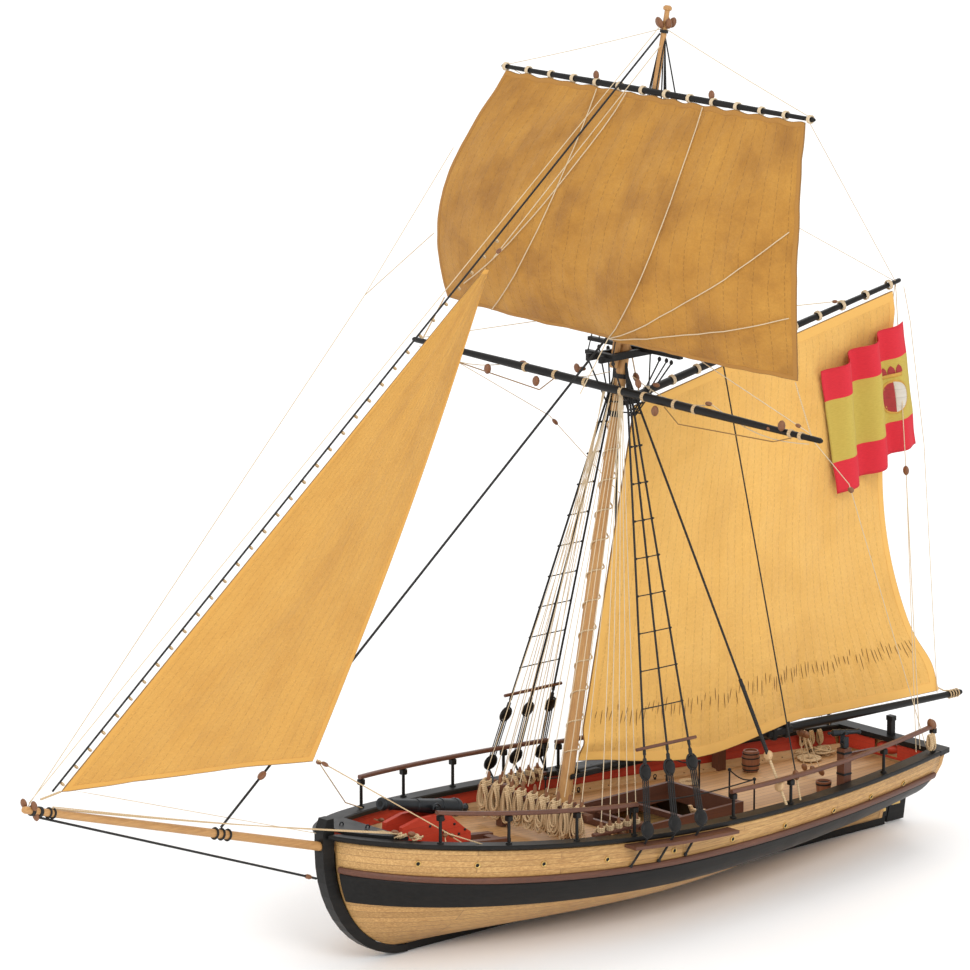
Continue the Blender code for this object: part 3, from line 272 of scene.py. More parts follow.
def flag_cloth():
    """Three stripes by the flat cut's height, which runs from 0 at the foot to 66."""
    finish = Finish("flag_cloth", roughness=0.9)
    flat = finish.coords("UV")
    down = finish.node("ShaderNodeSeparateXYZ", {0: flat}).outputs[1]
    slubs = finish.noise(finish.coords("UV", (0.5, 3.0, 1.0)), 1.0, 3.0)
    middle = finish.value("MULTIPLY", finish.value("GREATER_THAN", down, 16.5),
                          finish.value("LESS_THAN", down, 49.5))
    red = finish.mix(slubs, (0.72, 0.03, 0.045), (0.50, 0.012, 0.03))
    yellow = finish.mix(slubs, (0.60, 0.46, 0.10), (0.40, 0.29, 0.045))
    finish.colour(finish.mix(middle, red, yellow))
    finish.bump(slubs, 0.3, 0.0003)
    return finish.material


OAK = wood("hull_oak", (0.76, 0.50, 0.20), (0.36, 0.17, 0.045), fine=1500.0, planks=(118.0, 4.3, 0.12),
           source="UV", contrast=0.75, seam=(0.16, 0.08, 0.03))
OAK_FLAT = wood("transom_oak", (0.74, 0.48, 0.20), (0.36, 0.17, 0.05), "Y", 1300.0, contrast=0.7)
MAHOGANY = wood("mahogany", (0.19, 0.070, 0.035), (0.055, 0.018, 0.012), fine=1100.0)
MAHOGANY_UP = wood("mahogany_upright", (0.19, 0.070, 0.035), (0.055, 0.018, 0.012), "Z", 1100.0)
BLACK = black_satin("black_satin")
BLACK_CROSS = black_satin("black_satin_crosswise", "Y")
RED = painted("bulwark_red", (0.60, 0.050, 0.014), (0.42, 0.028, 0.010))
DECK = wood("deck_boards", (0.68, 0.41, 0.18), (0.42, 0.22, 0.08), fine=1200.0, planks=(62.0, 4.2, 0.16),
            seam=(0.20, 0.11, 0.05))
TUB_WOOD = wood("tub_wood", (0.34, 0.135, 0.06), (0.14, 0.05, 0.022), "Z", 1100.0)
PALE_WOOD = wood("waterway_wood", (0.72, 0.52, 0.30), (0.45, 0.27, 0.12), fine=1200.0, contrast=0.4)
SPAR = wood("spar_wood", (0.64, 0.37, 0.13), (0.33, 0.15, 0.045), "Z", 1200.0)
BOWSPRIT_WOOD = wood("bowsprit_wood", (0.66, 0.39, 0.15), (0.36, 0.17, 0.05), "X", 1200.0)
# The frame's plywood is darkened far below its own tone: painted shade for the dim inside of the hull.
SHADED_PLYWOOD = wood("frame_plywood_in_painted_shade", (0.10, 0.065, 0.035), (0.04, 0.025, 0.013), "Y", 700.0, (0.6, 0.8))
MAINSAIL_CLOTH = cloth("mainsail_cloth", (0.86, 0.50, 0.13), (0.68, 0.36, 0.08), (0.92, 0.58, 0.18),
                       mottle=0.35)
JIB_CLOTH = cloth("jib_cloth", (0.71, 0.38, 0.085), (0.58, 0.28, 0.055), (0.77, 0.44, 0.11), mottle=0.45)
TOPSAIL_CLOTH = cloth("topsail_cloth", (0.51, 0.242, 0.036), (0.33, 0.142, 0.020), (0.63, 0.320, 0.054),
                      panel=8.0, mottle=0.85)
HEM_CLOTH = cloth("hem_cloth", (0.44, 0.21, 0.040), (0.28, 0.12, 0.020), (0.54, 0.28, 0.060), mottle=0.7)
TAN_ROPE = rope("tan_line", (0.74, 0.56, 0.34), (0.42, 0.28, 0.14))
FINE_TAN = rope("fine_tan_line", (0.80, 0.66, 0.46), (0.52, 0.40, 0.25), 0.8)
BROWN_ROPE = rope("brown_bolt_rope", (0.42, 0.23, 0.07), (0.16, 0.075, 0.022), 1.1)
BLACK_ROPE = rope("black_line", (0.026, 0.024, 0.022), (0.005, 0.005, 0.005))
BLOCK_WOOD = wood("block_wood", (0.30, 0.125, 0.045), (0.12, 0.042, 0.018), "Z", 1500.0)
IRON = metal("blued_iron", (0.030, 0.034, 0.038), (0.012, 0.014, 0.016), (0.3, 0.5), 0.6)
BRASS = metal("brass", (0.78, 0.55, 0.22), (0.50, 0.32, 0.10), (0.22, 0.4), 1.0)
# Near-black for flush plugs set where the scuppers and the gun's bore open: painted shade standing in for
# the shadow inside those holes.
HOLE_SHADE = metal("painted_hole_shade", (0.006, 0.006, 0.006), (0.003, 0.003, 0.003), (0.8, 0.9), 0.0)
FLAG = flag_cloth()
CROWN_RED = painted("badge_red", (0.45, 0.03, 0.03), (0.25, 0.012, 0.012))
CROWN_GOLD = painted("badge_gold", (0.72, 0.42, 0.06), (0.42, 0.22, 0.03))
CROWN_WHITE = painted("badge_white", (0.72, 0.68, 0.60), (0.48, 0.43, 0.36))


# ---------------------------------------------------------------- shapes, in millimetres

def settle(piece, body, replaced=()):
    """Sets what a piece moves with and hides the CAD nodes it stands for."""
    if body:
        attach(piece, body)
    if replaced:
        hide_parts(*replaced)
    return piece


def frame_of(direction):
    """Two unit vectors square to a direction."""
    direction = direction.normalized()
    helper = Vector((0, 0, 1)) if abs(direction.z) < 0.9 else Vector((1, 0, 0))
    first = direction.cross(helper).normalized()
    return first, direction.cross(first).normalized()


class Form:
    """Collects closed shapes in millimetres and makes one piece of them."""

    def __init__(self):
        self.points, self.faces, self.marks = [], [], []

    def loft(self, rings, loop=False):
        base, count = len(self.points), len(rings[0])
        travel, previous, run = 0.0, None, []
        for ring in rings:
            self.points.extend(tuple(point) for point in ring)
            middle = sum((Vector(point) for point in ring), Vector()) / count
            travel += (middle - previous).length if previous is not None else 0.0
            previous = middle
            run.append(travel * MM)
        total = len(rings)
        for k in range(total if loop else total - 1):
            here, there = base + k * count, base + (k + 1) % total * count
            far = run[k + 1] if k + 1 < total else run[k] + run[1]
            for j in range(count):
                after = (j + 1) % count
                self.faces.append((here + j, here + after, there + after, there + j))
                self.marks.append(((j / count, run[k]), ((j + 1) / count, run[k]),
                                   ((j + 1) / count, far), (j / count, far)))
        if not loop:
            for start, order in ((base, reversed(range(count))),
                                 (base + (total - 1) * count, range(count))):
                self.faces.append(tuple(start + j for j in order))
                self.marks.append(((0.5, 0.0),) * count)
        return self

    def tube(self, points, radii, sides=8, loop=False):
        points = [Vector(point) for point in points]
        if not hasattr(radii, "__len__"):
            radii = [radii] * len(points)
        first = None
        rings = []
        for k, (point, radius) in enumerate(zip(points, radii)):
            if loop:
                tangent = points[(k + 1) % len(points)] - points[k - 1]
            else:
                tangent = points[min(k + 1, len(points) - 1)] - points[max(k - 1, 0)]
            tangent.normalize()
            if first is None:
                first, _ = frame_of(tangent)
            first = (first - tangent * first.dot(tangent)).normalized()
            second = tangent.cross(first)
            rings.append([point + (first * math.cos(a) + second * math.sin(a)) * radius
                          for a in (math.tau * j / sides for j in range(sides))])
        return self.loft(rings, loop)

    def turned(self, origin, direction, profile, sides=16):
        """profile holds (distance along, radius)."""
        origin, direction = Vector(origin), Vector(direction).normalized()
        first, second = frame_of(direction)
        rings = [[origin + direction * s + (first * math.cos(a) + second * math.sin(a)) * r
                  for a in (math.tau * j / sides for j in range(sides))] for s, r in profile]
        return self.loft(rings)

    def ball(self, centre, radii, up=(0, 0, 1), sides=8, rings=5):
        centre, up = Vector(centre), Vector(up).normalized()
        first, second = frame_of(up)
        turns = [math.pi * (k + 0.5) / rings for k in range(rings)]
        turns = [0.12] + turns + [math.pi - 0.12]
        return self.loft([[centre - up * math.cos(t) * radii[2]
                           + first * (math.sin(t) * radii[0] * math.cos(a))
                           + second * (math.sin(t) * radii[1] * math.sin(a))
                           for a in (math.tau * j / sides for j in range(sides))] for t in turns])

    def block(self, low, high, edge=0.3):
        low, high = Vector(low), Vector(high)
        edge = min(edge, *(0.45 * abs(size) for size in high - low))
        rings = []
        for z, inset in ((low.z, edge), (low.z + edge, 0), (high.z - edge, 0), (high.z, edge)):
            a, b = low.x + inset, high.x - inset
            c, d = low.y + inset, high.y - inset
            e = edge
            ring = [(a + e, c), (b - e, c), (b, c + e), (b, d - e), (b - e, d), (a + e, d), (a, d - e),
                    (a, c + e)]
            rings.append([Vector((x, y, z)) for x, y in ring])
        return self.loft(rings)

    def band(self, origin, direction, inner, outer, length, sides=20):
        """A short tube with a wall, as a hoop or an iron band."""
        return self.turned(origin, direction, ((0, inner), (0, outer), (length, outer), (length, inner)),
                           sides)

    def ring(self, centre, normal, major, minor, sides=14, thick=6):
        first, second = frame_of(Vector(normal))
        path = [Vector(centre) + (first * math.cos(a) + second * math.sin(a)) * major
                for a in (math.tau * k / sides for k in range(sides))]
        return self.tube(path, minor, thick, loop=True)

    def mesh(self, name):
        data = bpy.data.meshes.new(name)
        data.from_pydata([Vector(point) * MM for point in self.points], [], self.faces)
        layer = data.uv_layers.new(name="UVMap")
        flat = [mark for face in self.marks for mark in face]
        layer.data.foreach_set("uv", [value for mark in flat for value in mark])
        shape = bmesh.new()
        shape.from_mesh(data)
        bmesh.ops.recalc_face_normals(shape, faces=shape.faces)
        shape.to_mesh(data)
        shape.free()
        data.shade_smooth()
        data.set_sharp_from_angle(angle=math.radians(38))
        return data

    def piece(self, name, finish, slot, body="root", replaced=()):
        made = bpy.data.objects.new(name, self.mesh(name))
        made.data.materials.append(finish)
        bpy.context.scene.collection.objects.link(made)
        return settle(made, body, replaced)


def surface(name, rows, flat, thickness, finish, body="root", replaced=(), offset=0.0, smooth=60):
    """A sheet through rows of points, with its flat cut as UV map, given a thickness."""
    count = len(rows[0])
    data = bpy.data.meshes.new(name)
    faces = [(r * count + c, r * count + c + 1, (r + 1) * count + c + 1, (r + 1) * count + c)
             for r in range(len(rows) - 1) for c in range(count - 1)]
    data.from_pydata([Vector(point) * MM for row in rows for point in row], [], faces)
    layer = data.uv_layers.new(name="UVMap")
    spots = [spot for row in flat for spot in row]
    for loop in data.loops:
        layer.data[loop.index].uv = spots[loop.vertex_index]
    data.shade_smooth()
    data.set_sharp_from_angle(angle=math.radians(smooth))
    made = bpy.data.objects.new(name, data)
    data.materials.append(finish)
    bpy.context.scene.collection.objects.link(made)
    wall = made.modifiers.new("Thickness", "SOLIDIFY")
    wall.thickness = thickness * MM
    wall.offset = offset
    return settle(made, body, replaced)


def between(start, end, count):
    """Even steps along a straight line."""
    return [Vector(start).lerp(Vector(end), k / (count - 1)) for k in range(count)]


def sagging(start, end, sag, count=12):
    """A rope between two points that hangs a little."""
    points = between(start, end, count)
    for k, point in enumerate(points):
        point.z -= sag * math.sin(math.pi * k / (count - 1))
    return points


# ---------------------------------------------------------------- the hull's form

def rail_top(x):
    """Height of the rail cap's upper face."""
    share = max(0.0, (x - RAIL_LOW_X) / (STEM_X - RAIL_LOW_X))
    return RAIL_LOW_Z + RAIL_RISE * share ** 2.3


def plank_top(x):
    return rail_top(x) - CAP_THICKNESS - GAP


def deck_edge(x):
    return rail_top(x) - BULWARK


def deck_z(x, y=0.0):
    share = min(1.0, abs(y) / max(1.0, cap_half(x) - 4))
    return deck_edge(x) + CAMBER * (1 - share * share)


def cap_half(x):
    """Half the beam over the rail cap."""
    if x >= MID_X:
        share = min(1.0, (x - MID_X) / (STEM_X - MID_X))
        return HALF_BEAM * (1 - share ** 1.9) ** (1 / 1.7)
    share = (MID_X - x) / (MID_X - STERN_X)
    return HALF_BEAM - (HALF_BEAM - TRANSOM_HALF) * share ** 2.1


def level_height(x, level):
    return KEEL_HEIGHT + GAP + level * (plank_top(x) - KEEL_HEIGHT - GAP)


def stem_curve(z):
    drop = max(0.0, (STEM_CENTRE[1] - z) / STEM_INNER[1])
    return STEM_CENTRE[0] + STEM_INNER[0] * math.sqrt(max(0.0, 1 - drop * drop))


def stem_x(level):
    return stem_curve(KEEL_HEIGHT + level * (plank_top(STEM_X) - KEEL_HEIGHT))


def stern_x(z):
    return STERN_FOOT_X - STERN_RAKE * z


def half_breadth(x, level):
    level = min(1.0, max(0.0, level))
    middle = RABBET_HALF + (HALF_BEAM - CAP_OVERHANG - RABBET_HALF) * (1 - (1 - level) ** 3) ** (1 / 1.6)
    if x >= MID_X:
        share = min(1.0, (x - MID_X) / (stem_x(level) - MID_X))
        fullness = 1.05 + 0.65 * level ** 0.6
        return RABBET_HALF + (middle - RABBET_HALF) * (1 - share ** 1.9) ** (1 / fullness)
    lift = max(0.0, (level - 0.3) / 0.7)
    aft = RABBET_HALF + (TRANSOM_HALF - CAP_OVERHANG - RABBET_HALF) * (1 - (1 - lift) ** 2.5) ** (1 / 1.4)
    share = min(1.0, (MID_X - x) / (MID_X - stern_x(level_height(STERN_X, level))))
    return middle - (middle - aft) * share ** (1.3 + 0.8 * level)


def hull_side(x, z, side, stand_off=0.0):
    """A place on the planking's outer face."""
    def half(at_x, at_z):
        return half_breadth(at_x, (at_z - KEEL_HEIGHT - GAP) / (plank_top(at_x) - KEEL_HEIGHT - GAP))
    along = half(x + 0.5, z) - half(x - 0.5, z)
    upward = half(x, z + 0.5) - half(x, z - 0.5)
    normal = Vector((-along, 1.0, -upward)).normalized()
    point = Vector((x, half(x, z), z)) + normal * stand_off
    return Vector((point.x, side * point.y, point.z))


def stations(start, end, count):
    """Even steps from one station to another."""
    return [start + (end - start) * (index / count) ** 1.6 for index in range(count + 1)]


def strake_top(x):
    return 35.5 + 18.5 * ((x - STERN_X) / (STEM_X - STERN_X)) ** 4


def wale_low(x):
    return strake_top(x) - STRAKE_HEIGHT - GAP - 10.5 - 4 * ((x - STERN_X) / (STEM_X - STERN_X)) ** 4


def dress_planking(name, side):
    rows, flat = [], []
    levels = [(index / 34) ** 1.15 for index in range(35)]
    for level in levels:
        start, end = stem_x(level), stern_x(level_height(STERN_X, level))
        row = [Vector((x, side * half_breadth(x, level), level_height(x, level)))
               for x in stations(start, end, 90)]
        mark = [(point.x + 400, level * 78 + 7 * side) for point in row]
        rows.append(row if side > 0 else row[::-1])
        flat.append(mark if side > 0 else mark[::-1])
    surface(name + "_hull_planking", rows, flat, PLANK, OAK, replaced=(name + "_planking",),
            offset=-1.0)


def belt(form, side, low, high, depth, levels=4, edge=0.4):
    """A band of planks between two heights, rounded along its outer edges."""
    rings = []
    start = stem_curve(high(STEM_X)) - 0.4
    for x in stations(start, stern_x(low(STERN_X)) + 1.5, 70):
        bottom, top = low(x), high(x)
        heights = [bottom + (top - bottom) * k / levels for k in range(levels + 1)]
        outer = [(depth - edge, bottom)] + [(depth, min(max(z, bottom + edge), top - edge))
                                            for z in heights]
        outer += [(depth - edge, top)]
        inner = [(GAP, z) for z in reversed(heights)]
        ring = []
        for out, z in outer + inner:
            ring.append(hull_side(min(x, stem_curve(z) - 0.4), z, side, out))
        rings.append(ring)
    form.loft(rings)


def dress_cap_rail(name, side):
    rings = []
    section = ((0, 1.7), (0, 0.6), (0.06, 0), (0.94, 0), (1, 0.6), (1, CAP_THICKNESS), (0.1, CAP_THICKNESS))
    for x in stations(STEM_X - 0.5, STERN_X + CAP_WIDTH + GAP, 70):
        slope = (cap_half(x + 0.2) - cap_half(x - 0.2)) / 0.4
        inward = Vector((slope, -1.0, 0)).normalized()
        outer = Vector((x, max(cap_half(x), 4.5), 0))
        inner = outer + inward * CAP_WIDTH
        inner.y = max(inner.y, 3.5)
        inner.x = max(min(inner.x, outer.x), STERN_X + CAP_WIDTH + GAP)
        ring = []
        for share, drop in section:
            point = outer.lerp(inner, share)
            ring.append(Vector((point.x, side * point.y, rail_top(point.x) - drop)))
        rings.append(ring)
    Form().loft(rings).piece(name + "_rail_cap", BLACK, "black_paint", replaced=(name + "_cap_rail",))


def dress_hull():
    for name, side in SIDES:
        dress_planking(name, side)
        wale = Form()
        belt(wale, side, wale_low, lambda x: strake_top(x) - STRAKE_HEIGHT - GAP, 1.6)
        wale.piece(name + "_wale_band", BLACK, "black_paint", replaced=(name + "_wale",))
        strake = Form()
        belt(strake, side, lambda x: strake_top(x) - STRAKE_HEIGHT, strake_top, 2.2, 2, 0.7)
        strake.piece(name + "_rubbing_strake_moulding", MAHOGANY, "mahogany",
                     replaced=(name + "_rubbing_strake",))
        dress_cap_rail(name, side)
        waterway = Form()
        rings = []
        for x in stations(104, -256, 60):
            z = deck_edge(x)
            outer = half_breadth(x, (z - 1 - 4.3) / (plank_top(x) - 4.3)) - PLANK - 2.0
            section = ((outer, 0.05), (outer + 0.2, 3.6), (outer - 0.6, 3.6), (outer - 1.2, 1.6),
                       (outer - 5, 0.9), (outer - 5, 0.05))
            rings.append([Vector((x, side * y, z + h)) for y, h in section])
        waterway.loft(rings).piece(name + "_waterway", PALE_WOOD, "deck_wood")
        rims, hole_shades = Form(), Form()
        for x in (99, 72, 38, 2, -40, -81, -121, -161, -194, -225):
            z = rail_top(x) - 10.2
            centre = hull_side(x, z, side, 0.1)
            normal = hull_side(x, z, side, 1.0) - centre
            rims.ring(centre + normal * 0.15, normal, 1.25, 0.38, 16, 6)
            # A near-black plug flush in the planking, not a cut hole: painted shade for the scupper's
            # hollow.
            hole_shades.turned(centre - normal * 0.6, normal, ((0, 1.1), (0.75, 1.1)), 12)
        rims.piece(name + "_scupper_rings", BRASS, "brass")
        hole_shades.piece(name + "_scupper_holes", HOLE_SHADE, "black_paint")
        nails = Form()
        for x in range(-244, 100, 12):
            z = deck_edge(x)
            y = half_breadth(x, (z - 5.3) / (plank_top(x) - 4.3)) - PLANK - 5.2
            nails.turned((x, side * y, z + 0.6), UP, ((0, 0.4), (0.9, 0.4)), 6)
        nails.piece(name + "_waterway_treenails", MAHOGANY, "mahogany")


# ---------------------------------------------------------------- carried-over solids

def finish_solids():
    plain = {
        BLACK: ("keel", "stem", "sternpost", "rudder", "foredeck_plate"),
        BLACK_CROSS: ("taffrail_and_boom_crutch", "crosstrees", "mast_cap"),
        RED: ("port_bulwark_lining", "starboard_bulwark_lining", "gun_carriage"),
        DECK: ("main_deck",),
        OAK_FLAT: ("transom",),
        # The frame inside the hull takes the plywood darkened as painted shade.
        SHADED_PLYWOOD: ("keel_former", "bulkhead_1", "bulkhead_2", "bulkhead_3"),
        MAHOGANY: ("hatch_coaming", "tiller", "fore_pin_rack", "gun_slide", "port_channel",
                   "starboard_channel"),
        MAHOGANY_UP: ("port_swivel_post", "starboard_swivel_post"),
        PALE_WOOD: ("hold_ladder",),
        IRON: ("port_swivel_yoke", "starboard_swivel_yoke"),
    }
    for finish, names in plain.items():
        for name in names:
            NODES[name].data.materials.clear()
            NODES[name].data.materials.append(finish)
            NODES[name].material_slots[0].material = finish


# ---------------------------------------------------------------- spars

def mast_x(z):
    return -24.5 - 0.18 * (z - 38)


def topmast_x(z):
    return -60.5 - 0.2037 * (z - 272)


def bowsprit_z(x):
    return 54.2 + (116 - 54.2) * (x - 103) / (315.3 - 103)


def turned_spar(name, start, end, profile, finish, slot, body, replaced, extra=None):
    """A round spar whose profile is (share of its length, radius)."""
    start, end = Vector(start), Vector(end)
    length = (end - start).length
    form = Form().turned(start, end - start, [(share * length, radius) for share, radius in profile], 20)
    if extra:
        extra(form)
    return form.piece(name, finish, slot, body, replaced)


def jaws(form, start, slope, reach):
    """Two cheeks that grip the mast at the fore end of a boom or gaff."""
    for y in (-1, 1):
        form.block((start[0] - 12, min(y * 1.0, y * 5.4), start[2] - 1.3 - slope * 6),
                   (start[0], max(y * 1.0, y * 5.4), start[2] + 1.3 - slope * 6), 0.5)
        form.block((start[0] - 3, min(y * 4.1, y * 5.6), start[2] - 1.3),
                   (reach, max(y * 4.1, y * 5.6), start[2] + 1.3), 0.5)


def dress_spars():
    turned_spar("mast_pole", (mast_x(13), 0, 13), (mast_x(308), 0, 308),
                ((0, 3.4), (0.3, 3.5), (0.85, 2.9), (0.995, 2.7), (1, 2.3)), SPAR, "spar_wood", "root",
                ("lower_mast",))
    turned_spar("topmast_pole", (topmast_x(272), 0, 272), (topmast_x(449.5), 0, 449.5),
                ((0, 2.1), (0.3, 2.15), (0.92, 1.5), (0.95, 1.35), (0.985, 1.3), (0.988, 2.2), (0.995, 2.2),
                 (1, 1.2)), SPAR, "spar_wood", "root", ("topmast",))
    turned_spar("bowsprit_pole", (103, 0, 54.2), (315.3, 0, 116),
                ((0, 2.3), (0.2, 2.25), (0.9, 1.9), (0.995, 1.8), (1, 1.4)), BOWSPRIT_WOOD, "spar_wood",
                "root", ("bowsprit",))
    turned_spar("boom_spar", (-36.5, 0, 68.7), (-315.3, 0, 61),
                ((0, 2.0), (0.12, 2.5), (0.6, 2.3), (0.995, 1.6), (1, 1.2)), BLACK, "black_paint", "boom",
                ("boom",), lambda form: jaws(form, (-36.5, 0, 68.7), 0.0276, mast_x(68.7) + 2.4))
    turned_spar("gaff_spar", (-70.5, 0, 254.5), (-264.3, 0, 289.5),
                ((0, 1.8), (0.12, 2.05), (0.6, 1.8), (0.995, 1.2), (1, 0.9)), BLACK, "black_paint", "gaff",
                ("gaff",), lambda form: jaws(form, (-70.5, 0, 254.5), -0.18, mast_x(254.5) + 2.4))
    reach = Vector((0, math.cos(LOWER_YARD_TILT), -math.sin(LOWER_YARD_TILT))) * 147
    centre = Vector((LOWER_YARD_X, 0, LOWER_YARD_Z))
    taper = ((0, 0.9), (0.004, 1.4), (0.1, 1.6), (0.3, 2.15), (0.7, 2.15), (0.9, 1.6), (0.996, 1.4),
             (1, 0.9))
    turned_spar("lower_yard_spar", centre - reach, centre + reach, taper, BLACK_CROSS, "black_paint",
                "lower_yard", ("lower_yard",))
    slim = tuple((share, radius * 0.76) for share, radius in taper)
    turned_spar("topsail_yard_spar", (-84, -107, 408), (-84, 115, 408), slim, BLACK_CROSS, "black_paint",
                "topsail_yard", ("topsail_yard",))
    bands = Form()
    for z, radius in ((266, 3.2), (288, 3.1), (247, 3.2)):
        bands.band((mast_x(z), 0, z), MAST_LINE, radius, radius + 0.5, 2.2)
    for x in (305, 309.5):
        bands.band((x, 0, bowsprit_z(x)), (212.3, 0, 61.8), 1.9, 2.5, 1.6, 16)
    bands.band((topmast_x(436), 0, 436), (-0.2, 0, 1), 1.5, 2.1, 1.6, 16)
    bands.piece("spar_bands", BLACK_ROPE, "black_rope")
    partners = Form()
    z = deck_z(-25)
    collar = ((0, 3.9), (0, 7.4), (1.6, 7.2), (2.4, 5.6), (2.4, 3.9))
    partners.turned((mast_x(z) + 0.4, 0, z + 0.3), (-0.1, 0, 1), collar, 20)
    partners.piece("mast_partners", MAHOGANY, "mahogany")
    saddle = Form()
    saddle.block((-187, -3.2, 62.4), (-169, 3.2, 66.2), 0.5)
    saddle.block((-184, -3.6, 60.6), (-181, 3.6, 69.4), 0.4)
    saddle.block((-175, -3.6, 60.8), (-172, 3.6, 69.6), 0.4)
    saddle.piece("boom_saddle", BLACK, "black_paint", "boom")


# ---------------------------------------------------------------- sails

def rumple(x, y, z, size):
    """The small unevenness of hand-sewn cloth, up to a size."""
    return noise.noise(Vector((x, y, z))) * size


def mainsail_point(along, up):
    tack, clew = Vector((-37.5, 0, 73.5)), Vector((-296.5, 0, 67.3))
    throat, peak = Vector((-75, 0, 250.5)), Vector((-258.5, 0, 284.2))
    point = tack.lerp(clew, along).lerp(throat.lerp(peak, along), up)
    point.x += along * 29 * math.sin(math.pi * min(1.0, up * 1.05)) * (1 - 0.35 * up)
    hang = math.sin(math.pi * along / 0.62) if along < 0.62 else 0.0
    point.z -= 8.5 * (1 - up) ** 6 * hang * hang
    point.y = 9 * math.sin(math.pi * along) * math.sin(math.pi * up) ** 0.8
    near_foot = (1 - up) ** 3
    point.y += near_foot * 5.2 * min(1.0, 1.8 * hang)
    point.z += near_foot * 1.2 * (1 - min(1.0, 1.8 * hang))
    point.z -= near_foot * 3.4 * min(1.0, max(0.0, (along - 0.5) / 0.15))
    point.x -= 4.5 * along ** 8 * math.exp(-((up - 0.07) / 0.06) ** 2)
    rippled = math.exp(-((up - 0.11) / 0.07) ** 2) * math.sin(150 * along + rumple(along * 9, 0, 0, 3))
    folds = rippled * 0.5 * min(1, 6 * along, 6 * (1 - along))
    folds += 2.4 * math.exp(-((up - 0.05 - 0.05 * along) / 0.022) ** 2) * max(0.0, 1 - 4 * along)
    creases = rumple(along * 4, up * 3.0, 3.1, 3.2) + rumple(along * 13, up * 8, 1, 1.2)
    creases += rumple(along * 30, up * 24, 6, 0.45)
    point.y += folds + creases * math.sin(math.pi * along) ** 0.6 * math.sin(math.pi * up) ** 0.5
    return point


def topsail_half(across, down):
    """Half the topsail's width at a share of the way down; the starboard leech bows out a little more."""
    half = 106 + 20.5 * math.sin(math.pi * min(1.0, down * 0.62))
    return half + (6 * math.sin(math.pi * down) if across < 0 else 0.0)


def topsail_point(across, down):
    half = topsail_half(across, down)
    side_x = -82.3 + 24 * math.sin(math.pi * 0.62 * down) - 3 * down
    belly = (1 - across * across) * (30 * math.sin(math.pi * min(1.0, 0.12 + down * 0.6)) - 10)
    belly = max(0.0, belly) * min(1.0, down * 12)
    foot = 2.2 * (across * across - 1) * down ** 8
    tilt = -across * half * math.tan(LOWER_YARD_TILT) * down
    sink = (1.3 + 0.5 * math.cos(across * 45)) * max(0.0, 1 - down * 14)
    point = Vector((side_x + belly, across * half + 4 * (1 - down),
                    404.5 - 117.5 * down + tilt - foot + sink))
    slant = across + 0.35 * down
    creases = rumple(slant * 2.6, down * 2.2, 7.7, 6.0)
    creases += rumple(slant * 8, down * 6, 2.7, 2.0) + rumple(slant * 24, down * 20, 3, 0.6)
    point.x += creases * min(1, 8 * down) * (0.45 + 0.55 * (1 - abs(across)))
    point.z += rumple(across * 12, down * 3, 5, 0.5)
    return point


def jib_point(along, up):
    tack, head, clew = Vector((292.5, 0, 120.5)), Vector((22, 0, 336)), Vector((144.5, 0, 109.4))
    point = tack.lerp(head, up).lerp(clew.lerp(head, up), along)
    point.x -= 5 * along * math.sin(math.pi * up)
    point.y = 9 * math.sin(math.pi * along ** 0.8) * (1 - up) ** 0.7 * min(1.0, 0.35 + 2 * up)
    point.y += 7 * along * along * (1 - up)
    creases = rumple(along * 3, up * 4.5, 4.4, 2.6) + rumple(along * 9, up * 13, 9, 0.9)
    creases += rumple(along * 20, up * 34, 5, 0.35)
    point.y += creases * math.sin(math.pi * min(1.0, along * 1.02)) ** 0.5 * (1 - up) ** 0.5
    point.z += 1.6 * math.sin(math.pi * along) * (1 - up) ** 10
    return point


def flag_point(along, up):
    low, high = Vector((-271.5, 6, 203)), Vector((-260.5, 6, 269))
    point = low.lerp(high, up)
    point.x += 61 * along
    point.z -= 17.5 * along ** 1.15
    point.z += 1.4 * math.sin(9 * along) * (1 - up) * along
    point.y += 4.6 * math.sin(math.tau * (2.6 * along + 0.14 * up)) * min(1, 4 * along) + 6 * along
    point.y += rumple(along * 6, up * 5, 2, 0.7)
    return point


def sail(name, shape, columns, rows, size, finish, body, node, low=0.0, close=1.0, thickness=0.55):
    """One sheet of sailcloth from a function of two shares, and the grid it was made on."""
    grid = [[shape(low + (1 - low) * c / columns, close * r / rows) for c in range(columns + 1)]
            for r in range(rows + 1)]
    flat = [[(size[0] * c / columns, size[1] * r / rows) for c in range(columns + 1)]
            for r in range(rows + 1)]
    piece = surface(name, grid, flat, thickness, finish, body, (node,))
    return piece, grid


def bolt_rope(form, grid, radius=0.45):
    """Rope sewn round a sail's edge."""
    edge = grid[0] + [row[-1] for row in grid[1:]] + grid[-1][-2::-1] + [row[0] for row in grid[-2:0:-1]]
    form.tube(edge, radius, 6, loop=True)


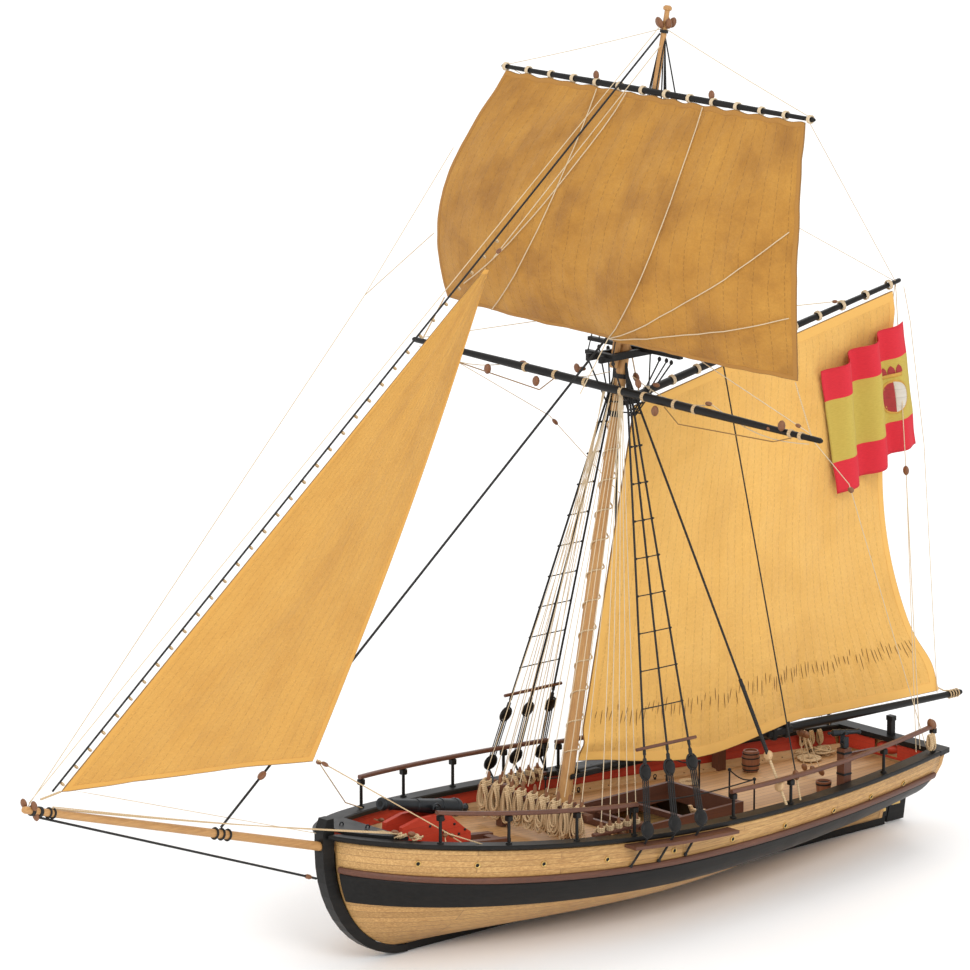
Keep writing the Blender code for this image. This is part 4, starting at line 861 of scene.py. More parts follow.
def hem(name, grid, depth, finish, slot, body):
    """A doubled band of cloth round the sail, standing a little off it on both faces."""
    count_r, count_c = len(grid), len(grid[0])
    form = Form()

    def inset(r, c):
        row, col = min(max(r, depth), count_r - 1 - depth), min(max(c, depth), count_c - 1 - depth)
        return grid[row][col]
    path = [(0, c) for c in range(count_c)]
    path += [(r, count_c - 1) for r in range(1, count_r)]
    path += [(count_r - 1, c) for c in range(count_c - 2, -1, -1)]
    path += [(r, 0) for r in range(count_r - 2, 0, -1)]
    rings = []
    for index, (r, c) in enumerate(path):
        here = grid[r][c]
        inner = inset(r, c)
        if (inner - here).length < 0.1:
            inner = here.lerp(grid[count_r // 2][count_c // 2], 0.05)
        after = path[(index + 1) % len(path)]
        before = path[index - 1]
        tangent = grid[after[0]][after[1]] - grid[before[0]][before[1]]
        normal = tangent.cross(inner - here)
        if normal.length < 1e-6:
            normal = Vector((0, 1, 0))
        normal.normalize()
        rings.append([here + normal * 0.5, inner + normal * 0.42, inner - normal * 0.42,
                      here - normal * 0.5])
    form.loft(rings, loop=True)
    return form.piece(name, finish, slot, body)


def dress_sails():
    main, main_grid = sail("mainsail_sheet", mainsail_point, 110, 90, (255, 215), MAINSAIL_CLOTH,
                           "gaff", "mainsail")
    top, top_grid = sail("topsail_sheet", topsail_point, 110, 64, (245, 122), TOPSAIL_CLOTH,
                         "topsail_yard", "topsail", low=-1.0)
    jib, jib_grid = sail("jib_sheet", jib_point, 44, 110, (160, 300), JIB_CLOTH, "root", "jib",
                         close=0.985)
    flag, flag_grid = sail("flag_sheet", flag_point, 60, 30, (66, 66), FLAG, "gaff", "flag",
                           thickness=0.35)
    ropes = Form()
    bolt_rope(ropes, main_grid)
    ropes.piece("mainsail_bolt_rope", BROWN_ROPE, "tan_rope", "gaff")
    ropes = Form()
    bolt_rope(ropes, top_grid)
    ropes.piece("topsail_bolt_rope", BROWN_ROPE, "tan_rope", "topsail_yard")
    ropes = Form()
    bolt_rope(ropes, jib_grid)
    ropes.piece("jib_bolt_rope", BROWN_ROPE, "tan_rope")
    hem("topsail_hem", top_grid, 1, HEM_CLOTH, "sailcloth", "topsail_yard")
    hem("jib_hem", jib_grid, 1, JIB_CLOTH, "sailcloth", "root")
    hem("mainsail_hem", main_grid, 2, MAINSAIL_CLOTH, "sailcloth", "gaff")
    points = Form()
    chance = random.Random(12)
    for index in range(78):
        along, start = (index + 1) / 80, 0.145 + chance.uniform(-0.012, 0.012)
        length, lean = chance.uniform(0.018, 0.045), chance.uniform(-0.006, 0.003)
        for face in (-1, 1):
            route = [mainsail_point(along + lean * k / 5, start - length * k / 5)
                     + Vector((0, face * 0.45, 0)) for k in range(6)]
            points.tube(route, (0.08, 0.16, 0.2, 0.18, 0.14, 0.06), 5)
    points.piece("reef_gathers", BROWN_ROPE, "tan_rope", "gaff")
    dress_badge(flag_grid)


def dress_badge(grid):
    """A plain parted oval under a plain crown, near the hoist."""
    def spot(across, down):
        column, row = int(across), int(down)
        here, right = grid[row][column], grid[row][min(column + 1, 60)]
        above = grid[min(row + 1, 30)][column]
        return here.lerp(right, across - column) + (above - here) * (down - row)

    def patch(name, rows, finish, lift):
        """rows holds (height, left edge, right edge), in the flag's own squares."""
        flat = [[(left + (right - left) * k / 10, height) for k in range(11)]
                for height, left, right in rows]
        cloth_grid = [[spot(across, down) for across, down in row] for row in flat]
        surface(name, cloth_grid, flat, lift * 2, finish, "gaff")

    def oval(width, height, left, right):
        spread = [math.sin(math.pi * (k / 16 - 0.5)) for k in range(17)]
        return [(13.4 + height * t, 11 - left * width * math.sqrt(1 - t * t) - 0.02,
                 11 + right * width * math.sqrt(1 - t * t) + 0.02) for t in spread]
    patch("badge_rim", oval(6.8, 4.1, 1, 1), CROWN_GOLD, 0.36)
    patch("badge_field_fly", oval(6.0, 3.6, 0, 1), CROWN_RED, 0.46)
    patch("badge_field_hoist", oval(6.0, 3.6, 1, 0), CROWN_WHITE, 0.46)
    patch("badge_crown_band", [(18.1, 6.6, 15.4), (19.0, 6.2, 15.8)], CROWN_GOLD, 0.46)
    for index, centre in enumerate((7.6, 11.0, 14.4)):
        lobe = [(19.0 + 1.9 * t, centre - 1.6 * (1 - t ** 3), centre + 1.6 * (1 - t ** 3) + 0.02)
                for t in (0, 0.3, 0.6, 0.85, 1)]
        patch("badge_crown_lobe_%d" % (index + 1), lobe, CROWN_RED, 0.46)


# ---------------------------------------------------------------- repeated fittings along a path

def fitting_row_tree():
    """Sets copies of a unit along a path, turned to follow it."""
    tree = bpy.data.node_groups.new("row_of_fittings", "GeometryNodeTree")
    face = tree.interface
    face.new_socket("Path", in_out="INPUT", socket_type="NodeSocketGeometry")
    for label, kind in (("Unit", "NodeSocketObject"), ("Spacing", "NodeSocketFloat"),
                        ("Size Spread", "NodeSocketFloat"), ("Seed", "NodeSocketInt"),
                        ("Finish", "NodeSocketMaterial")):
        face.new_socket(label, in_out="INPUT", socket_type=kind)
    face.new_socket("Fittings", in_out="OUTPUT", socket_type="NodeSocketGeometry")
    add, link = tree.nodes.new, tree.links.new
    enter, leave = add("NodeGroupInput"), add("NodeGroupOutput")
    to_curve, to_points = add("GeometryNodeMeshToCurve"), add("GeometryNodeCurveToPoints")
    to_points.mode = "LENGTH"
    unit, spread = add("GeometryNodeObjectInfo"), add("FunctionNodeRandomValue")
    smallest, largest = add("ShaderNodeMath"), add("ShaderNodeMath")
    smallest.operation, largest.operation = "SUBTRACT", "ADD"
    place, real = add("GeometryNodeInstanceOnPoints"), add("GeometryNodeRealizeInstances")
    paint = add("GeometryNodeSetMaterial")
    link(enter.outputs["Path"], to_curve.inputs[0])
    link(to_curve.outputs[0], to_points.inputs["Curve"])
    link(enter.outputs["Spacing"], to_points.inputs["Length"])
    link(enter.outputs["Unit"], unit.inputs["Object"])
    for node in (smallest, largest):
        node.inputs[0].default_value = 1.0
        link(enter.outputs["Size Spread"], node.inputs[1])
    link(smallest.outputs[0], spread.inputs[2])
    link(largest.outputs[0], spread.inputs[3])
    link(enter.outputs["Seed"], spread.inputs["Seed"])
    link(to_points.outputs["Points"], place.inputs["Points"])
    link(to_points.outputs["Rotation"], place.inputs["Rotation"])
    link(unit.outputs["Geometry"], place.inputs["Instance"])
    link(spread.outputs[1], place.inputs["Scale"])
    link(place.outputs[0], real.inputs[0])
    link(real.outputs[0], paint.inputs["Geometry"])
    link(enter.outputs["Finish"], paint.inputs["Material"])
    link(paint.outputs[0], leave.inputs[0])
    return tree


def fitting_row(name, path, unit_form, spacing, finish, body, spread=0.0, seed=1):
    """A row of small fittings along a path, made one plain mesh."""
    data = bpy.data.meshes.new(name)
    data.from_pydata([Vector(point) * MM for point in path], [(k, k + 1) for k in range(len(path) - 1)], [])
    guide = bpy.data.objects.new(name + "_path", data)
    unit = bpy.data.objects.new(name + "_unit", unit_form.mesh(name + "_unit"))
    bpy.context.scene.collection.objects.link(guide)
    bpy.context.scene.collection.objects.link(unit)
    rows = guide.modifiers.new("Row", "NODES")
    rows.node_group = ROW_TREE
    values = {"Unit": unit, "Spacing": spacing * MM, "Size Spread": spread, "Seed": seed, "Finish": finish}
    for socket in ROW_TREE.interface.items_tree:
        if socket.in_out == "INPUT" and socket.name in values:
            rows[socket.identifier] = values[socket.name]
    bpy.context.view_layer.update()
    solid = bpy.data.meshes.new_from_object(guide.evaluated_get(bpy.context.evaluated_depsgraph_get()))
    bpy.data.objects.remove(guide, do_unlink=True)
    bpy.data.objects.remove(unit, do_unlink=True)
    solid.materials.clear()
    solid.materials.append(finish)
    solid.shade_smooth()
    piece = bpy.data.objects.new(name, solid)
    bpy.context.scene.collection.objects.link(piece)
    return settle(piece, body)


def turns_of_line(radius, line, turns=3):
    """A short wrapping of line round a spar."""
    form = Form()
    for turn in range(turns):
        form.ring((0, 0, (turn - (turns - 1) / 2) * line * 1.8), (0.05, 0, 1), radius, line, 14, 5)
    return form


def dress_lacings():
    yard = between((-84, -104, 408), (-84, 112, 408), 2)
    fitting_row("topsail_robands", yard, turns_of_line(1.9, 0.38), 15.6, FINE_TAN,
                "topsail_yard", 0.04)
    gaff = between((-84, 0, 257), (-256, 0, 288), 2)
    fitting_row("gaff_lacing", gaff, turns_of_line(2.3, 0.36), 16.5, FINE_TAN, "gaff", 0.03, 2)
    stay = between((292, 0, 124), (18, 0, 346), 2)
    fitting_row("jib_hanks", stay, turns_of_line(1.0, 0.25, 2), 10.5, TAN_ROPE, "root", 0.05, 3)
    luff = Form()
    points = []
    turns = 11
    for k in range(turns * 14 + 1):
        share = k / (turns * 14)
        z = 78 + share * 165
        angle = math.tau * share * turns
        points.append((mast_x(z) - 0.6 + 4.0 * math.cos(angle), 3.7 * math.sin(angle),
                       z + 2.5 * math.cos(angle)))
    luff.tube(points, 0.42, 6)
    luff.piece("mainsail_luff_lacing", TAN_ROPE, "tan_rope")


# ---------------------------------------------------------------- rigging

def pulley(form, centre, along, size=2.6):
    """An oval block, its long axis along its rope."""
    form.ball(centre, (size * 0.5, size * 0.36, size * 0.66), along, 10, 6)


def deadeye(form, centre, normal, radius=2.9, thick=2.2):
    """A round dead block with a groove for its strop."""
    profile = ((0, radius * 0.7), (0.35, radius * 0.93), (0.8, radius), (0.95, radius * 0.9),
               (thick - 0.95, radius * 0.9), (thick - 0.8, radius), (thick - 0.35, radius * 0.93),
               (thick, radius * 0.7))
    form.turned(Vector(centre) - Vector(normal).normalized() * thick / 2, normal, profile, 18)


def lower_yard_spot(y, x=LOWER_YARD_X, lift=0.0):
    """A place on the lower yard, or that far above it; the yard hangs a little lower to port."""
    return Vector((x, y, LOWER_YARD_Z - y * math.tan(LOWER_YARD_TILT) + lift))


def shroud_shift(side):
    """How much further aft this side's shrouds stand."""
    return -28.0 if side < 0 else 0.0


def dress_shrouds():
    for name, side in SIDES:
        top = Vector((mast_x(272), side * 4.6, 272))
        lines, eyes, lanyards, poles = Form(), Form(), Form(), Form()
        runs = []
        for foot_x in (x + shroud_shift(side) for x in SHROUD_FEET):
            low = Vector((foot_x, side * (cap_half(foot_x) + 4.6), DEADEYE_LOW_Z))
            share = (DEADEYE_HIGH_Z - low.z) / (top.z - low.z)
            high = low.lerp(top, share)
            along = (top - low).normalized()
            outward = Vector((0, side, 0)).cross(along).cross(along).normalized()
            across = along.cross(outward).normalized()
            runs.append((low, top))
            lines.tube([high + along * 2.5, top + Vector((0, -side * 2, 2))], 0.55, 8)
            ring = [high + (across * math.cos(t) + along * math.sin(t) * 1.15) * 3.5
                    for t in (math.tau * k / 18 for k in range(18))]
            lines.tube(ring, 0.5, 6, loop=True)
            lines.turned(high + along * 3.4, along, ((0, 1.0), (3.2, 0.95), (3.6, 0.6)), 8)
            lines.turned(high + along * 8.4, along, ((0, 0.8), (2.4, 0.8), (2.6, 0.6)), 8)
            deadeye(eyes, low, outward, 4.0, 2.4)
            deadeye(eyes, high, outward, 3.3, 2.4)
            for shift in (-1.35, 0, 1.35):
                for face in (-0.55, 0.55):
                    lanyards.tube([low + across * shift + outward * face + along * 0.6,
                                   high + across * shift + outward * face - along * 0.6], 0.3, 6)
            strap = Vector((foot_x, side * (cap_half(foot_x) + 2.2), 49))
            lines.tube([low - along * 3.8, strap, hull_side(foot_x + 5, 38.5, side, 1.0)], 0.6, 6)
            lines.ring(low, outward, 4.1, 0.35, 18, 6)
            lines.ball(hull_side(foot_x + 5, 38.5, side, 1.0), (1, 1, 1), (0, side, 0))
        for step in range(9):
            height = 113 + step * 17.4 if side > 0 else 109.5 + step * 16.5
            points = []
            for low, high in runs:
                points.append(low.lerp(high, (height - low.z) / (high.z - low.z)))
            ends = (points[-1] - points[0]).normalized() * 0.8
            lines.tube([points[0] - ends, *points, points[-1] + ends], 0.3, 6)
            for point in points:
                lines.ball(point, (0.75, 0.75, 0.6), UP, 6, 3)
        first, last = (low.lerp(high, (95 - low.z) / (high.z - low.z)) for low, high in (runs[0], runs[-1]))
        reach = (last - first).normalized() * 5
        poles.tube([first - reach, last + reach], 0.85, 10)
        lines.piece(name + "_shroud_lines", BLACK_ROPE, "black_rope", replaced=(name + "_shrouds",))
        eyes.piece(name + "_deadeyes", BLACK, "black_paint")
        lanyards.piece(name + "_lanyards", BLACK_ROPE, "black_rope")
        poles.piece(name + "_sheer_pole", MAHOGANY, "mahogany")


def line(name, points, radius, finish, body="root", other=None, sag=0.0, blocks=(), size=2.6):
    """One rope, with any blocks on it.

    With a second body given, the rope and its blocks follow neither body and stay fixed where they are
    made.
    """
    slot = "black_rope" if finish is BLACK_ROPE else "tan_rope"
    route = []
    for start, end in zip(points, points[1:]):
        route += sagging(start, end, sag, 9)[:-1]
    route.append(Vector(points[-1]))
    rides = None if other else body
    form = Form().tube(route, radius, 6)
    piece = form.piece(name, finish, slot, rides)
    if other:
        start, end = Vector(points[0]) * MM, Vector(points[-1]) * MM
        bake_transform(piece)
        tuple(start)
        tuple(end)
    if blocks:
        wood_form = Form()
        for segment, share in blocks:
            a, b = Vector(points[segment]), Vector(points[segment + 1])
            pulley(wood_form, a.lerp(b, share), b - a, size)
        holder = wood_form.piece(name + "_blocks", BLOCK_WOOD, "mahogany", rides)
        if other:
            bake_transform(holder)
            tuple(start)
            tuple(end)
    return piece


def dress_stays():
    foot = Vector((196, 0, bowsprit_z(196) + 3.4))
    head = Vector((-61.7, 0, 292.4))
    line("fore_stay_line", [foot, head], 0.62, BLACK_ROPE, blocks=((0, 0.1),), size=4.2)
    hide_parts("forestay")
    line("jib_stay_line", [(298, 0, 121.5), (topmast_x(436) + 2.6, 0, 436)], 0.5, BLACK_ROPE)
    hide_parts("jib_stay")
    line("bobstay_line", [(136.2, 0, 47.5), (309, 0, bowsprit_z(309) - 2.6)], 0.65, BLACK_ROPE,
         blocks=((0, 0.03),), size=3.4)
    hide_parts("bobstay")
    collars = Form()
    for x in (192, 196, 200):
        collars.ring((x, 0, bowsprit_z(x)), (212.3, 0, 61.8), 2.6, 0.55, 16, 6)
    for x in (298, 300.5):
        collars.ring((x, 0, bowsprit_z(x)), (212.3, 0, 61.8), 2.3, 0.5, 16, 6)
    collars.piece("bowsprit_collars", BLACK_ROPE, "black_rope")
    for name, side in SIDES:
        head, foot = Vector((mast_x(270), side * 3, 270)), Vector((-122, side * 63, rail_top(-122) + 0.5))
        thimble = foot.lerp(head, 0.115)
        line(name + "_runner", [head, thimble], 0.6, BLACK_ROPE)
        line(name + "_runner_end", [thimble.lerp(head, 0.2), thimble], 1.0, BLACK_ROPE)
        line(name + "_runner_tackle", [thimble, foot], 0.75, TAN_ROPE)
        eyes = Form()
        for share, radius in ((0.0, 2.6), (0.62, 2.9)):
            deadeye(eyes, thimble.lerp(foot, share), (1, 0, 0.3), radius, 2.4)
        eyes.piece(name + "_runner_deadeyes", PALE_WOOD, "tan_rope")
        head, foot = Vector((topmast_x(437), 0, 437)), Vector((-134, side * 61, rail_top(-134) + 0.5))
        tail = foot.lerp(head, 0.035)
        line(name + "_backstay", [head, tail], 0.38, BLACK_ROPE)
        line(name + "_backstay_tackle", [tail, foot], 0.5, TAN_ROPE, blocks=((0, 0.05),), size=4.2)


def dress_topmast_shrouds():
    """Shrouds from the topmast's head to the crosstrees, and futtocks from there to the lower shrouds."""
    for name, side in SIDES:
        form = Form()
        for shift, width in ((13, 9), (-10.5, 26), (-12, 21), (-12, 16)):
            arm = Vector((-64.8 + shift, side * width, 281))
            form.tube([arm, (topmast_x(434), side * 1.2, 434)], 0.32, 6)
            futtock_foot = (mast_x(248) - 2 - width * 0.12, side * (6 + width * 0.1), 248)
            form.tube([arm - Vector((0, 0, 5)), futtock_foot], 0.42, 6)
            form.ball(arm - Vector((0, 0, 4.5)), (1.0, 1.0, 1.3), sides=8, rings=4)
        for z in (250, 255, 260):
            form.tube([(mast_x(z) + 4, side * 0.5, z), (mast_x(z) - 8, side * 10, z - 1)], 0.4, 6)
        form.piece(name + "_topmast_shrouds", BLACK_ROPE, "black_rope")


def over_topsail(start, end, lift=1.6):
    """A line's points from one place on the topsail to another, led over the belly of its fore side."""
    first, last = topsail_point(*start), topsail_point(*end)
    route = []
    for k in range(15):
        share = k / 14
        taut = first.lerp(last, share)
        down = start[1] + (end[1] - start[1]) * share
        across = start[0] + (end[0] - start[0]) * share
        for _ in range(6):
            cloth_point = topsail_point(across, down)
            half = topsail_half(across, down)
            across += (taut.y + 1.1 * (cloth_point.x - taut.x) - cloth_point.y) / half
            across = min(0.985, max(-0.985, across))
        route.append(topsail_point(across, down) + Vector((lift, 0, 0)))
    return route


def rig_yards_and_gaff():
    """Lifts, braces, sheets, vangs and the falls beside the mast, on each side."""
    cap = Vector((-68, 0, 300))
    peak = Vector((-261, 0, 289))
    for name, side in SIDES:
        yard_end = lower_yard_spot(side * 140)
        arm = Vector((-84, 4 + side * 106, 408))
        truck = Vector((topmast_x(438), side * 1.5, 438))
        line(name + "_lower_lift", [cap + Vector((2, side * 4, 0)), yard_end + Vector((0, 0, 2))], 0.24,
             FINE_TAN, "root", "lower_yard", blocks=((0, 0.12), (0, 0.93)))
        line(name + "_topsail_lift", [truck, arm + Vector((0, 0, 1.5))], 0.2, FINE_TAN, "root",
             "topsail_yard", sag=0.5)
        line(name + "_topsail_sheet", [yard_end + Vector((0, 0, 1)),
                                       (-61.5, side * 126, 286.5 - side * 2.4)], 0.35, TAN_ROPE,
             "lower_yard")
        line(name + "_clewline", [(-66, side * 8, 268), (-61, side * 70, 264),
                                  yard_end + Vector((2, 0, -2.4))], 0.24, FINE_TAN, "lower_yard", sag=5,
             blocks=((0, 0.3), (0, 0.95), (1, 0.6)), size=3.2)
        middle = arm.lerp(peak, 0.5)
        line(name + "_topsail_brace_fore", [middle, arm], 0.2, FINE_TAN, "root", "topsail_yard")
        line(name + "_topsail_brace_aft", [middle, peak], 0.2, FINE_TAN, "root", "gaff")
        block = Vector((-118, side * 108, 222))
        line(name + "_lower_brace", [(-252, side * 36, rail_top(-252) + 1), block, yard_end], 0.22,
             FINE_TAN, "root", "lower_yard", blocks=((0, 0.98),), size=3.2)
        rail, peak_block = Vector((-250, side * 33, rail_top(-250) + 1)), Vector((-257, side * 13.5, 190))
        line(name + "_vang", [rail, peak_block, peak], 0.24, FINE_TAN, "root", "gaff", blocks=((1, 0.02),),
             size=3.8)
        fall = Form().tube([peak_block, rail + Vector((6, side * 3, 0))], 0.22, 6)
        fall = fall.piece(name + "_vang_fall", FINE_TAN, "tan_rope", None)
        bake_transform(fall)
        line(name + "_jib_sheet", [(131, -5, 105), (84, side * 38, rail_top(84) + 5),
                                   (62, side * 46, rail_top(62) - 2)], 0.3, TAN_ROPE, blocks=((0, 0.06),),
             size=3)
        if side < 0:
            line(name + "_bowline", [(312, -1.5, 116), (12, -104, 303), (-59, -131, 322)], 0.22, FINE_TAN,
                 "root", "topsail_yard")
            line(name + "_upper_bowline", [(12, -104, 303), (-66, -124, 366)], 0.2, FINE_TAN, "root",
                 "topsail_yard")
        for index in range(6):
            y = side * (4 + 6.2 * index)
            head = (mast_x(268) + 3, side * (1.5 + index * 0.7), 268 - index * 3)
            line("%s_fall_%d" % (name, index + 1), [head, (-7, y, 66)], 0.22, FINE_TAN)
        for index in range(5):
            x = -5 - 6 * index + shroud_shift(side)
            head = (mast_x(262) + 4.5, side * (4.6 + index * 0.5), 262)
            line("%s_rail_fall_%d" % (name, index + 1), [head, (x, side * 51, 57)], 0.22, FINE_TAN)


def rig_topsail():
    """Buntlines and leechlines over the fore side of the topsail."""
    for name, start, end in (("port_buntline", (0.35, 0.0), (0.06, 1.0)),
                             ("starboard_buntline", (-0.36, 0.0), (-0.66, 1.0)),
                             ("inner_buntline", (-0.16, 0.0), (-0.8, 0.9)),
                             ("port_leechline", (0.97, 0.4), (0.06, 1.0)),
                             ("lower_leechline", (0.98, 0.74), (0.06, 1.0))):
        line(name, over_topsail(start, end), 0.28, FINE_TAN, "topsail_yard")
    line("mast_head_bowline", [over_topsail((0.06, 1.0), (0.07, 1.0))[0], (-38, 0, 262)], 0.26, FINE_TAN,
         "root", "topsail_yard")


def rig_lower_yard():
    """Lashings, blocks and foot ropes of the lower yard."""
    bindings = Form()
    for y in (-126, -62, -40, -18, 8, 24, 46, 60, 126, 133):
        spot = lower_yard_spot(y)
        for turn in (-0.7, 0, 0.7):
            radius = 2.1 if abs(y) < 70 else 1.75
            bindings.ring((spot.x, spot.y + turn, spot.z), (0, 1, 0), radius, 0.36, 14, 5)
    bindings.piece("lower_yard_lashings", TAN_ROPE, "tan_rope", "lower_yard")
    yard_gear = Form()
    for y, lift in ((-88, -5), (-52, -5), (34, -5), (122, 3.4)):
        pulley(yard_gear, lower_yard_spot(y, -56.5, lift), (0.1, 0.4, 1), 4.4)
    yard_gear.piece("lower_yard_blocks", BLOCK_WOOD, "mahogany", "lower_yard")
    for name, side in SIDES:
        inner = lower_yard_spot(side * 40, -57)
        outer = lower_yard_spot(side * 128, -57)
        drop = Vector((0, 0, 9))
        line(name + "_foot_rope", [inner - Vector((0, 0, 2)), inner - drop + Vector((0, side * 10, 0)),
                                   outer - drop * 0.6 - Vector((0, side * 12, 0)),
                                   outer - Vector((0, 0, 1.6))], 0.3, BROWN_ROPE, "lower_yard")


def rig_halyards_and_sheets():
    """Halyards, the main sheet and the lines of the jib and the flag."""
    line("throat_halyard", [(-78, 0, 258), (-72, 0, 281)], 0.35, TAN_ROPE, "gaff",
         blocks=((0, 0.3), (0, 0.85)), size=4)
    for index, (x, z) in enumerate(((-128, 266.5), (-176, 275), (-224, 284))):
        line("peak_halyard_%d" % (index + 1), [(mast_x(300) - 2, 0.6, 301 - index * 4), (x, 0, z)], 0.26,
             FINE_TAN, "root", "gaff", blocks=((0, 0.05), (0, 0.95)))
    for y in (-4, 0, 4):
        line("main_sheet_%d" % (y // 4 + 2), [(-205, y * 1.6, deck_z(-205) + 3), (-196, y * 0.5, 62)], 0.3,
             TAN_ROPE, "root", "boom", blocks=((0, 0.05), (0, 0.9)), size=3.6)
    line("flag_halyard", [(-262, 5, 287), (-266.2, 6, 268), (-277.8, 6, 202), (-296, 1, 64)], 0.2, FINE_TAN,
         "gaff")
    line("jib_halyard", [(20, 0, 338), (topmast_x(430) + 2, 0.8, 430)], 0.24, FINE_TAN, blocks=((0, 0.03),),
         size=2.6)
    line("jib_outhaul", [(293, 0, 120.5), (305, 0, 119)], 0.5, TAN_ROPE)
    line("jib_downhaul", [(24, -1.5, 333), (290, -1.5, 121), (112, -2.2, 62)], 0.18, FINE_TAN)
    line("topmast_stay", [(312, 0, 118.5), (topmast_x(441) + 2, 0, 441)], 0.22, FINE_TAN)


def rig_loose_blocks():
    """Blocks at the masthead, bowsprit and topsail yard, and the lashing at the boom's end."""
    blocks = Form()
    for turn in range(5):
        angle = math.tau * turn / 5
        spot = (topmast_x(441) + 3.6 * math.cos(angle), 3.6 * math.sin(angle), 441)
        pulley(blocks, spot, (0.4 * math.cos(angle), 0.4 * math.sin(angle), 1), 4.2)
    for x, y, z in ((311, 2.6, 117.5), (313, -2.6, 118), (308, 0, 111.5), (-56.5, 22, 268),
                    (-56.5, -22, 269)):
        pulley(blocks, (x, y, z), (0.2, 0, 1), 3.8)
    blocks.piece("masthead_and_bowsprit_blocks", BLOCK_WOOD, "mahogany")
    yard_blocks = Form()
    for y in (-38, 44):
        pulley(yard_blocks, (-84, y, 411.5), UP, 3.6)
    yard_blocks.piece("topsail_yard_blocks", BLOCK_WOOD, "mahogany", "topsail_yard")
    lashings = Form()
    for x in (-306, -308, -310, -312):
        lashings.ring((x, 0, 61.2), (1, 0, 0), 2.0, 0.4, 14, 5)
    lashings.tube([(-296.5, 0, 67), (-302, 0, 64), (-309, 0, 62.8)], 0.4, 6)
    lashings.piece("boom_end_lashing", TAN_ROPE, "tan_rope", "boom")


def dress_running_rigging():
    rig_yards_and_gaff()
    rig_topsail()
    rig_lower_yard()
    rig_halyards_and_sheets()
    rig_loose_blocks()


# ---------------------------------------------------------------- deck fittings

# Profiles as (distance along, radius), and the handrail's section as (across, up)
RACK_PIN = ((0, 0.5), (3, 0.8), (7.5, 0.8), (8, 1.2), (11, 0.9), (12.5, 0.5))
RAIL_PIN = ((0, 0.5), (3, 0.8), (5, 0.8), (5.5, 1.2), (8.5, 0.9), (10, 0.5))
GUARD_POST = ((0, 1.3), (0.6, 1.2), (0.8, 0.5), (18, 0.45), (18.2, 0.9), (19.2, 0.9), (19.6, 0.4))
CASK = ((0, 3.8), (1.5, 4.3), (5.5, 4.75), (9.5, 4.3), (11, 3.9), (11, 3.3), (10.2, 3.3))
RAIL_SECTION = ((-1.3, -0.5), (-0.8, -1.0), (0.8, -1.0), (1.3, -0.5), (1.3, 0.6), (0.8, 1.1), (-0.8, 1.1),
                (-1.3, 0.6))


def dress_handrails():
    for name, side in SIDES:
        fore = (90, 55, 18, -18) if side > 0 else (69, 30, -9, -46, -76)
        for label, posts, height, node in (("fore", fore, 15.5, "_fore_handrail"),
                                           ("aft", (-82, -127, -206, -256), 13.6, "_aft_handrail")):
            first, last = posts[0], posts[-1]
            rail, stands = Form(), Form()
            rings = []
            for k in range(41):
                x = first + (last - first) * k / 40
                y, z = side * (cap_half(x) - 4), rail_top(x) + height
                rings.append([(x, y + a, z + b) for a, b in RAIL_SECTION])
            rail.loft(rings)
            rail.piece("%s_%s_rail" % (name, label), MAHOGANY, "mahogany", replaced=(name + node,))
            for x in posts:
                x += 1.6 if x == last else (-1.6 if x == first else 0)
                y, foot, top = side * (cap_half(x) - 4), rail_top(x), rail_top(x) + height
                post = ((0, 1.7), (0.7, 1.6), (0.9, 0.85), (height - 4, 0.8))
                stands.turned((x, y, foot + 0.1), UP, post, 10)
                stands.block((x - 1.5, y - 1.6, top - 4.0), (x + 1.5, y + 1.6, top - 1.1), 0.3)
            stands.piece("%s_%s_stanchions" % (name, label), BLACK, "black_paint")


def eyebolt(form, spot, normal=(0, 0, 1), size=1.0):
    """A ring on a short stalk."""
    normal = Vector(normal).normalized()
    first, _ = frame_of(normal)
    spot = Vector(spot)
    form.turned(spot - normal * 0.4, normal, ((0, 0.7 * size), (0.7, 0.7 * size)), 8)
    form.ring(spot + normal * 1.3 * size, first, 0.95 * size, 0.3 * size, 12, 5)


def hank(form, spot, length, width, count, seed):
    """Loops of line hung over a pin."""
    chance = random.Random(seed)
    spot = Vector(spot)
    for index in range(count):
        drop = length * chance.uniform(0.75, 1.0)
        half = width * chance.uniform(0.6, 1.0)
        depth = chance.uniform(-1.2, 1.2)
        lean = chance.uniform(-0.12, 0.12)
        path = []
        for k in range(18):
            angle = math.tau * k / 18
            down = (1 - math.cos(angle)) / 2
            sway = half * math.sin(angle) * (0.35 + 0.65 * down)
            path.append(spot + Vector((depth + 0.6 * math.sin(angle + index), sway + lean * drop * down,
                                       -drop * down)))
        form.tube(path, 0.42, 6, loop=True)


def pile(form, centre, radius, count, seed):
    """Loops of line dropped in a heap."""
    chance = random.Random(seed)
    for index in range(count):
        turn, reach = chance.uniform(0, math.tau), radius * chance.uniform(0.3, 0.75)
        away = Vector((math.cos(turn), math.sin(turn), 0))
        middle = Vector(centre) + away * chance.uniform(0, radius * 0.5)
        squash = chance.uniform(0.35, 1.0)
        path = []
        for k in range(16):
            angle = math.tau * k / 16
            x, y = reach * math.cos(angle), reach * squash * math.sin(angle)
            lift = 0.4 + index * 0.16 + 0.5 * math.sin(2 * angle + turn)
            turned_x = x * math.cos(turn) - y * math.sin(turn)
            turned_y = x * math.sin(turn) + y * math.cos(turn)
            path.append(middle + Vector((turned_x, turned_y, lift)))
        form.tube(path, 0.42, 6, loop=True)


